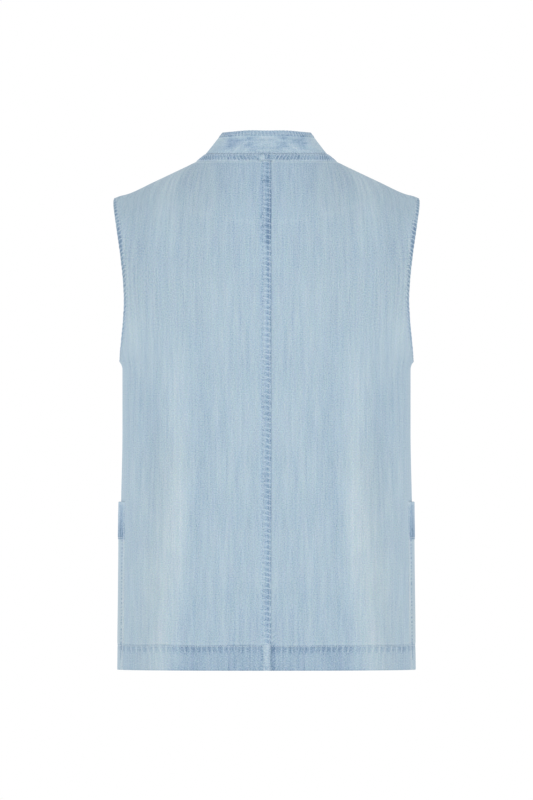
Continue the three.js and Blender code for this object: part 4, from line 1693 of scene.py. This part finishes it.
@dataclass
class NeckBand:
    """The narrow bias strip stitched over the neck seam, under the collar."""

    stand: float = 0.14
    thick: float = 0.75
    width: float = 9.4
    flat: tuple[float, float] = (0.575, 0.0125)

    def shell(self) -> Shell:
        """Works out the strip's wall on the panels' points, with its slanting puckers.

        It clears the margins under it: the fell, the front turnings and the lap.

        Returns:
            The wall.
        """
        low, high = float(neck_v(BAND_FOOT_OUT)), 3 - 0.15 / 120
        steps = [0, 0.03, 0.08, 0.16, 0.26, 0.38, 0.5, 0.62, 0.74, 0.84, 0.92, 0.97, 1]
        v = low + (high - low) * np.array(steps)
        ring = NeckRing(v, LAP / 2, 1.05)
        e = ((v - v[0]) / (v[-1] - v[0]) * self.width)[:, None] * np.ones_like(ring.run)
        run, x = ring.run, ring.point[..., 0]
        before = ring.point[..., 1] < 0
        slant = np.abs(run) - 0.75 * e
        ripple = pucker(slant, 4.4, 71)
        stripe = smooth(1.4 * ripple + 0.6)
        # It steps over the lap, the fell and the front turnings.
        lapped = np.where(before, 1 - smooth((np.abs(x) - LAP) / LAP_FADE), 0)
        fell = inside(x, BACK_SEAM_X, BACK_SEAM_X + FELL_WIDTH + 1, 2.5) * ~before
        turned = inside(np.abs(x), -1, FRONT_BAND - LAP + 3, 3.0) * before
        base = self.stand + 1.0 * fell + 0.75 * turned + LAP_STEP * lapped
        # Relief: it swells between its two rows of stitches.
        belly = np.sin(np.pi * np.clip(e / self.width, 0.06, 0.94))
        relief = (0.22 - 0.30 * stripe) * belly - 0.15 * (bell(e, 1.3, 0.5) + bell(e, 8.1, 0.5))
        # Wash: dark throughout, with slanting bars; painted highlights along both folded edges,
        # brightest at the foot, and a little painted shade under the collar near the top.
        heavy = 0.8 + 0.4 * wobble(run, 12, 76)
        tone = -0.27 - 0.06 * heavy * stripe * inside(e, 1.4, 8.6, 0.8)
        tone += 0.12 * blotch(run, e, 16, 9, 73) - 0.05 * inside(e, 5.5, 9.4, 2)
        tone += 0.50 * bell(e, 0.4, 0.8) + 0.14 * bell(e, 9.4, 0.7)
        # At the back seam a worn square of bars has a patch of shade beside it.
        at_back = (~before).astype(float)
        square = inside(x, 2.6, 9.4, 0.5) * inside(e, 1.4, 7.0, 0.5) * at_back
        shade = inside(x, -6.4, -0.4, 0.8) * inside(e, 0.6, 8.8, 0.9) * at_back
        bars = np.sin(x * 2.4) + 0.7 * blotch(x, e, 2, 3, 74)
        tone = mix(tone, 0.12 + 0.20 * bars, square)
        sides = smooth((np.abs(run) - 45) / 40)
        pull = inside(e, 1.2, 8.4, 0.8) * heavy * (0.88 + 0.55 * sides)
        pull *= (1 - square) * (1 - shade)
        places = slant / 4.6 - 0.0004 * np.maximum(np.abs(run) - 60, 0) ** 2
        seam = Seam.laid(places, (e - 4.8) / 15 + CELL_ROW, pull, 0.3 * pull)
        tone = mix(tone, -0.52 + 0.35 * blotch(x, e, 2.5, 4, 75), shade)
        tone -= 0.6 * bell(e, 8.0, 0.8) * inside(x, -1, 9, 1.5) * at_back
        tone -= 0.8 * bell(x, 10.6, 2.6) * bell(e, 1.8, 1.3) * at_back
        draw = rounded(np.minimum(e, self.width - e))
        return Shell(
            "neck_band_cloth",
            ring.point,
            ring.normal,
            base + self.thick + relief - draw - 0.3 * bell(e, 0, 0.9),
            base - 0.06 * bell(e, 0, 1.5),
            run,
            e,
            tone,
            np.full_like(tone, 0.25),
            np.full_like(tone, 0.35),
            seam,
        )

    def dress(self, finishes: Finishes) -> list[bpy.types.Object]:
        """Builds the strip and the two rows of stitches along its edges.

        Args:
            finishes: the vest's finishes.

        Returns:
            The piece and its stitching.
        """
        shell = self.shell()
        piece = shell.build(finishes.cloth)
        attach(piece, "root")
        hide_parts("neck_band")
        rows = shell.stitched(3, 9, pitch=2.8, length=2.1)
        thread = sew("neck_band_stitching", rows, finishes.thread)
        return [piece, thread]


@dataclass
class Collar:
    """The band collar: two layers, leaning in, with rounded front corners."""

    width: float = 36.0
    thick: float = 2.3
    corner: float = 14.0
    edge: float = 8.5
    end_gap: float = 1.0
    flat: tuple[float, float] = (0.565, 0.037)
    flat_area: float = 0.019

    @property
    def heights(self) -> np.ndarray:
        """Heights of the rows above the seam, finer in the margin and at the fold."""
        body, margin = np.linspace(0, 26.5, 20), np.linspace(27.3, 35.2, 12)
        return np.concatenate([body, margin, [35.7, self.width]])

    def stained(self, far: np.ndarray, height: np.ndarray) -> np.ndarray:
        """How deep the stains are: a bell over an ellipse for each, added up.

        Args:
            far: distances from the middle.
            height: heights above the seam, in the same shape.

        Returns:
            The depth of dye, in the shape of far.
        """
        dye = np.zeros_like(far)
        for spot in COLLAR_STAINS:
            place = ((far - spot.far) / spot.wide) ** 2 + ((height - spot.high) / spot.tall) ** 2
            dye += spot.depth * np.exp(-place)
        return dye

    def shell(self) -> Shell:
        """Works out the collar's wall.

        From each station on the neck seam it rises square to the seam, turned in from
        upright by the lean, and its corners at the centre front are cut to a quarter
        ellipse. Puckers run across the stitched margin and die away below it.

        Returns:
            The wall.
        """
        ring = NeckRing(np.array([2.985, 3.0]), self.end_gap, 1.4)
        seam, part, run = ring.point[-1], ring.part[-1], ring.run[-1]
        # At each station: along the seam, inwards and up, then turned by the lean.
        tangent = unit(np.gradient(seam, axis=0))
        inward = unit(np.cross(tangent, np.array([0.0, 0.0, 1.0])))
        up = unit(np.cross(inward, tangent))
        to_middle = np.array([0, -20, 0]) - seam
        inward *= np.sign(np.sum(inward * to_middle, axis=-1, keepdims=True))
        up *= np.sign(up[:, 2:])
        lean = np.radians(read_table(COLLAR_LEAN, 0, 1, np.abs(part)))[:, None]
        rise = up * np.cos(lean) + inward * np.sin(lean)
        normal = up * np.sin(lean) - inward * np.cos(lean)
        # The front corners are rounded, and the top edge dips and rises a little behind.
        from_end = (1 - np.abs(part)) * np.abs(run).max() / np.abs(part).max() - self.end_gap
        near = np.clip(1 - from_end / self.corner, 0, 1)
        reach = self.width - self.corner * (1 - np.sqrt(1 - near**2)) * 0.8
        reach += 1.0 * bell(np.abs(run), 33, 22) - 0.3 * bell(run, 0, 14)
        share = (self.heights / self.width)[:, None]
        height = share * reach[None, :]
        point = seam[None] + rise[None] * (0.12 + height)[..., None]
        normals = np.broadcast_to(normal[None], point.shape)
        top = self.width - self.heights[:, None] + np.zeros_like(height)
        along = np.broadcast_to(run[None], height.shape)
        reach_in = np.abs(along)
        # Relief: the puckered margin, ticks at the foot, and soft dents between.
        ripple = pucker(along + 0.2 * top, 6.2, 81)
        stripe = smooth(1.5 * ripple + 0.4)
        margin = inside(top, -1, self.edge, 0.5)
        below = trail(top - self.edge, 5.0) * (1 - margin)
        foot = trail(height, 3.2)
        ticks = smooth(1.4 * pucker(reach_in + 0.5 * height, 4.8, 82) + 0.3)
        relief = 0.22 * margin + (0.2 - 0.4 * stripe) * margin + 0.16 * ripple * below
        relief += (0.12 - 0.25 * ticks) * foot + 0.25 * blotch(along, height, 26, 16, 83)
        relief -= 0.26 * bell(top, self.edge - 0.2, 0.7)
        # Wash: dark bars in the margin, stronger at the sides, and a pale line under it.
        outer = smooth((reach_in - 25) / 40)
        tone = -0.04 - margin * (0.06 + (0.12 + 0.10 * outer) * stripe)
        tone -= 0.10 * margin * smooth((top - 3) / 4)
        tone += 0.30 * bell(top, self.edge + 1.3, 0.9)
        dye = self.stained(reach_in, height)
        tone -= dye
        # Pale rings where it was pressed, faint streaks and mottle.
        rings = np.sqrt((reach_in / 46) ** 2 + ((height + 6) / 31) ** 2)
        tone += 0.26 * bell(rings, 1.0, 0.04) + 0.19 * bell(rings, 0.72, 0.045)
        tone += 0.08 * pucker(reach_in, 5.2, 86) * inside(height, 3, 20, 4)
        mottle = 0.12 * blotch(reach_in, height, 7, 4, 84)
        mottle += 0.09 * blotch(along, height, 3.4, 2.2, 87)
        tone += (1.3 * mottle - 0.01) * inside(top, 7, 31, 3)
        tone -= foot * 0.26 * ticks
        # Puckers in the margin and at the foot.
        pull = margin * (0.46 + 0.42 * outer) * inside(top, 0.6, self.edge, 1.0)
        seam = Seam.laid((along + 0.2 * top) / 5.6, (top - 4.2) / 13 + CELL_ROW, pull, 0.3 * margin)
        teeth = (reach_in + 0.5 * height) / 4.8 - 0.0004 * np.maximum(reach_in - 60, 0) ** 2
        far_foot = foot * (0.9 + 0.7 * smooth((reach_in - 50) / 30))
        ticked = Seam.laid(teeth, (height - 1.5) / 7 + CELL_ROW, far_foot)
        seam = seam.over(ticked)
        draw = rounded(np.minimum(top, from_end[None, :]))
        rag = 0.10 + 0.08 * margin + 0.12 * foot
        cast = 0.26 + 0.4 * smooth((reach_in - 60) / 22)
        cast *= 1 - np.minimum(1.6 * dye, 1)
        return Shell(
            "collar_cloth",
            point,
            normals,
            relief - draw,
            -self.thick - 0.2 * margin + draw,
            height,
            along,
            tone,
            rag,
            cast,
            seam,
        )

    def dress(self, finishes: Finishes) -> list[bpy.types.Object]:
        """Builds the collar and its rows of stitches, under its top edge and at its foot.

        Args:
            finishes: the vest's finishes.

        Returns:
            The piece and its stitching.
        """
        shell = self.shell()
        piece = shell.build((finishes.right_side, finishes.right_side))
        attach(piece, "root")
        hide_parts("collar")
        rows = shell.stitched(nearest(self.width - self.heights, 5.8), 1)
        thread = sew("collar_stitching", rows, finishes.thread)
        return [piece, thread]


@dataclass
class Pocket:
    """A patch pocket from behind the side seam round to the front, with a deep mouth hem."""

    side: Side
    back_start: float
    seed: int
    slack: float = 1.5
    flat: tuple[float, float] = (0.195, 0.2185)

    @property
    def margin(self) -> np.ndarray:
        """Distances in from either side edge, fine at the fold."""
        return edge_steps([(5.0, 0.9)])

    def edges(self, v: np.ndarray) -> tuple[np.ndarray, np.ndarray]:
        """How far the pocket reaches behind and before the side seam at each row.

        Its edges follow columns of the panels under it: past 0.89 of the back's and 0.355
        of the front's.

        Args:
            v: the row numbers.

        Returns:
            The distances behind the side seam and those before it.
        """
        half = SEAM_GAP / 2
        hem = half + ARMHOLE_HEM + STEP
        lengths = row_lengths(v).items()
        lasts = {face: length - half - ARMHOLE_HEM - STEP for face, length in lengths}
        back_margin = FELL_WIDTH if self.side is Side.LEFT else ARMHOLE_HEM
        first = self.back_start + back_margin + STEP
        behind = lasts[Face.BACK] + hem - mix(first, lasts[Face.BACK], 0.89)
        front_first = -LAP + FRONT_BAND + STEP
        before = lasts[Face.FRONT] + hem - mix(front_first, lasts[Face.FRONT], 0.355)
        return behind, before

    def shell(self) -> Shell:
        """Works out the pocket's wall from the panels' points, moved out.

        It stands off by the panels' raised hem and a little slack that swells at the
        middle of its mouth.

        Returns:
            The wall.
        """
        # Rows: fine at the bottom hem and at the mouth hem's stitches.
        low = HEM_Z + edge_steps([(19.0, 1.9), (FINE_HEM, 1.1)])
        high = POCKET_TOP_Z - edge_steps([(POCKET_HEM - 3, 1.9), (POCKET_HEM + 3, 0.75)])[::-1]
        between = np.linspace(low[-1], high[0], int((high[0] - low[-1]) / 1.4))[1:-1]
        z = made_odd(np.concatenate([low, between, high]))
        v = lower_v(z)
        # Columns: from the back edge, round the side seam, to the front edge.
        behind, before = self.edges(v)
        lengths = row_lengths(v)
        rest = np.linspace(0, 1, 16)[1:]
        tail = -behind[:, None] + self.margin[None, :]
        seam_part = tail[:, -1:] * (1 - rest[None, :])
        back_s = np.concatenate([tail, seam_part], axis=1)
        share = np.linspace(0, 1, 84)[1:]
        to = before[:, None] - self.margin[-1]
        head = before[:, None] - self.margin[None, -2::-1]
        front_s = np.concatenate([to * share[None, :], head], axis=1)
        back = Cloth(Face.BACK, v, lengths[Face.BACK][:, None] + back_s)
        front_in = np.concatenate([np.zeros((len(v), 1)), front_s], axis=1)
        front = Cloth(Face.FRONT, v, lengths[Face.FRONT][:, None] - front_in)
        point, normal = joined(back.point, front.point), joined(back.normal, front.normal)
        s, rise = joined(back_s, front_in), joined(back.rise, front.rise)
        up = np.broadcast_to((z - HEM_Z)[:, None], s.shape)
        depth = np.broadcast_to((POCKET_TOP_Z - z)[:, None], s.shape)
        from_back, from_front = s + behind[:, None], before[:, None] - s
        # How far it stands off: over the body's hem, and with its slack.
        height = smooth((z - HEM_Z - HEM_DEPTH) / (POCKET_TOP_Z - HEM_Z - HEM_DEPTH))[:, None]
        across = from_back / (from_back + from_front)
        hem_line = inside(up, -1, HEM_DEPTH + 1.2, 2.2)
        mouth = inside(depth, -1, POCKET_HEM, 0.6)
        side_edge = np.minimum(from_back, from_front)
        slack = (1 - trail(side_edge, 7)) * (self.slack - 0.6 * height)
        slack += 0.9 * np.sin(np.pi * across) ** 2 * height
        stand = 0.08 + 0.60 * hem_line * (1 - 0.6 * smooth(side_edge / 14))
        stand += slack * (1 - 0.4 * hem_line)
        stand -= (0.14 + 0.5 * hem_line) * bell(side_edge, 0, 0.9)
        # Relief: the mouth hem, grooves, hollows between tongues, and soft dents.
        hanging = tongues(s, MOUTH_ROOTS - depth, 7.0, 10.0, self.seed)
        ripple = pucker(up + 0.4 * side_edge, 6.4, self.seed + 1)
        near_edge = trail(side_edge, 3.0)
        inner = 1 - trail(side_edge, 2.0)
        relief = RELIEF * mouth * inner - 0.28 * bell(depth, MOUTH_STITCHES, 0.7)
        relief -= 0.05 * bell(side_edge, 1.9, 0.7)
        relief += (0.15 - 0.35 * hanging) * mouth * bell(depth, 44, 9)
        relief += 0.05 * ripple * near_edge
        relief += 0.30 * blotch(s, up, 40, 60, self.seed + 2) * inside(up, 40, 200, 20)
        turned = inside(up, -1, HEM_DEPTH, 0.6)
        drops = tongues(s, HEM_ROOTS - up, 7.0, 11.0, self.seed + 5)
        relief -= 0.25 * drops * turned + 0.25 * bell(up, HEM_STITCHES, 0.7)
        # Tone: the mouth hem dark and mottled, partly wash and partly painted shade, with worn
        # edges; a painted highlight on the folds' ridges, and painted shade in a line under the
        # mouth hem's edge.
        stain = 0.6 * blotch(s, depth, 6, 9, self.seed + 3)
        stain += 0.5 * blotch(s, up, 3, 4, self.seed + 7)
        worn = trail(side_edge, 1.6) * (0.25 + 0.3 * ripple)
        tone = mouth * (-0.28 + 0.30 * stain - 0.44 * bell(depth, 36, 12) + worn) + 0.030 * rise
        tone += 0.14 * (1 - mouth) - 0.16 * hanging - 0.34 * bell(depth, POCKET_HEM + 0.7, 0.9)
        # Needle holes beside the edges, running together above the bottom hem.
        holes = smooth(0.5 + holes_along(up, 4.8, 3, 11, self.seed))
        holes = np.maximum(holes * (1 - turned), 0.8 * inside(up, 16, 34, 5))
        tone += 0.3 * bell(side_edge, 1, 4) - 1.15 * holes * bell(side_edge, 6, 1.6) * (1 - mouth)
        # The bottom hem: duller, with dark tongues of dye, and painted shade in the crease along
        # its top.
        tone -= turned * 0.07 + 0.16 * drops + 0.34 * bell(up, 32.9, 0.75)
        tone += 0.34 * bell(depth, 1.6, 2.2) - 0.14 * bell(depth, 0.2, 0.6)
        rag = 0.3 * mouth + 0.08 * near_edge + 0.1 * turned
        draw = rounded(np.minimum(depth, up))
        thickness = 0.06 + 1.04 * (1 - trail(side_edge, 6))
        cast = 0.45 * bell(up, 60, 70) * (1 - mouth)
        held = 0.6 * inside(MOUTH_ROOTS - depth, 0.2, 8.0, 5.0) * mouth
        seam = Seam.laid(s / 6.4, (42 - depth) / 17 + CELL_ROW, held, 0.3 * held)
        turn = inside(HEM_ROOTS - up, 0.2, 4.0, 3.6)
        seam = seam.over(Seam.laid(s / 6.6, (28 - up) / 15 + CELL_ROW, 0.8 * turn, 0.2 * turn))
        return Shell(
            f"pocket_{self.side.label}_cloth",
            point,
            normal,
            stand + thickness + relief - draw,
            stand,
            s,
            up,
            tone,
            np.minimum(rag, 0.8),
            cast + 0.35 * (1 - mouth),
            seam,
            self.side,
            2,
        )

    def dress(self, finishes: Finishes) -> list[bpy.types.Object]:
        """Builds the pocket and its rows of stitches: mouth, both sides and hem.

        Args:
            finishes: the vest's finishes.

        Returns:
            The piece and its stitching.
        """
        shell = self.shell()
        piece = shell.build(finishes.cloth)
        name = f"pocket_{self.side.label}"
        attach(piece, "root")
        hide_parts(name)
        up = shell.along[:, 0]
        mouth = nearest(POCKET_TOP_Z - HEM_Z - up, MOUTH_STITCHES)
        hem = nearest(up, HEM_STITCHES)
        side = nearest(self.margin, 1.9)
        every = slice(None)
        rows = shell.stitched(mouth, hem, (every, side), (every, -1 - side))
        thread = sew(name + "_stitching", rows, finishes.thread)
        f"front_{self.side.label}"
        f"back_{self.side.label}"
        return [piece, thread]


@dataclass
class Vest:
    """The whole garment, in the order that a maker sews it."""

    finishes: Finishes

    def pieces(self) -> list[Panel | NeckBand | Collar | Pocket]:
        """Every piece, with the sizes that its cut gives.

        Returns:
            The pieces, the panels first.
        """
        half = SEAM_GAP / 2
        (back, front), (left, right) = Face, Side
        left_start, right_start = BACK_SEAM_X + half, half - BACK_SEAM_X
        fine, coarse = (1.75, 1.9), (2.4, 2.4)
        back_flat, front_flat = (0.272, 0.715), (0.282, 0.690)
        return [
            Panel(back, left, left_start, FELL_WIDTH, 0, 101, *fine, back_flat, 0.166),
            Panel(back, right, right_start, 0, 0, 202, *fine, back_flat, 0.158),
            Panel(front, left, -LAP, FRONT_BAND, -LAP_STEP, 303, *coarse, front_flat, 0.167),
            Panel(front, right, -LAP, FRONT_BAND, LAP_STEP, 404, *coarse, front_flat, 0.167),
            NeckBand(),
            Collar(),
            Pocket(Side.LEFT, left_start, 505),
            Pocket(Side.RIGHT, right_start, 606),
        ]

    def build(self) -> None:
        """Builds and dresses every piece, and reports each one."""
        for part in self.pieces():
            for piece in part.dress(self.finishes):
                count = sum(len(p.vertices) - 2 for p in piece.data.polygons)
                LOG.info("%s: %d triangles", piece.name, count)


# The floor, the lights and the camera.


@dataclass
class Studio:
    """A pale floor, a white surround, soft lights and the camera of the photograph."""

    floor_z: float = -1.37
    floor_size: float = 9.0
    lens: float = 1000.0
    frame_height: float = 1.04
    look_z: float = -0.286

    def build_floor(self) -> None:
        """Lays a flat sheet of studio paper under the vest."""
        mesh = bpy.data.meshes.new("floor")
        s, z = self.floor_size / 2, self.floor_z
        mesh.from_pydata([(-s, -s, z), (s, -s, z), (s, s, z), (-s, s, z)], [], [(0, 1, 2, 3)])
        mesh.materials.append(PaperFloor().build())
        link(bpy.data.objects.new("floor", mesh))

    def build_lights(self) -> None:
        """Sets a white world and three large soft lamps, two behind and one before."""
        world = bpy.data.worlds.new("white_surround")
        bpy.context.scene.world = world
        world.use_nodes = True
        world.node_tree.nodes["Background"].inputs["Color"].default_value = (1, 1, 1, 1)
        world.node_tree.nodes["Background"].inputs["Strength"].default_value = 1.0
        places = (
            ("lamp_back_left", (2.4, 3.2, 0.1), 15.0),
            ("lamp_back_right", (-2.4, 3.2, 0.1), 15.0),
            ("lamp_front", (1.6, -3.6, 0.6), 20.0),
        )
        for name, place, power in places:
            lamp = bpy.data.lights.new(name, "AREA")
            lamp.energy, lamp.size = power, 2.2
            light = link(bpy.data.objects.new(name, lamp))
            light.location = place
            aim = Vector((0, 0, -0.3)) - Vector(place)
            light.rotation_euler = aim.to_track_quat("-Z", "Y").to_euler()

    def build_camera(self) -> None:
        """Puts a long lens level with the middle of the frame, square to the back.

        The distance is the frame's height times the lens over the sensor's 36 mm.
        """
        camera = bpy.data.cameras.new("camera")
        camera.lens, camera.sensor_width = self.lens, 36.0
        camera.clip_start, camera.clip_end = 0.1, 200.0
        view = link(bpy.data.objects.new("camera", camera))
        view.location = (0, self.frame_height * self.lens / 36, self.look_z)
        view.rotation_euler = (np.pi / 2, 0, np.pi)
        bpy.context.scene.camera = view
        bpy.context.scene.view_settings.view_transform = "Standard"

    def build(self) -> None:
        """Builds the whole studio."""
        self.build_floor()
        self.build_lights()
        self.build_camera()


def main() -> None:
    """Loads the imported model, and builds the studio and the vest."""
    logging.basicConfig(level=logging.INFO, format="%(name)s %(message)s")
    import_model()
    Studio().build()
    right_side = WashedDenim().build()
    wrong_side = WashedDenim(
        name="washed_denim_wrong_side",
        mid="#b3c4d0",
        pale="#c3d0d9",
        deep="#a3b9cd",
        streak=0.18,
        broad=0.12,
    ).build()
    Vest(Finishes(right_side, wrong_side, PolyesterThread().build())).build()


if __name__ == "__main__":
    main()
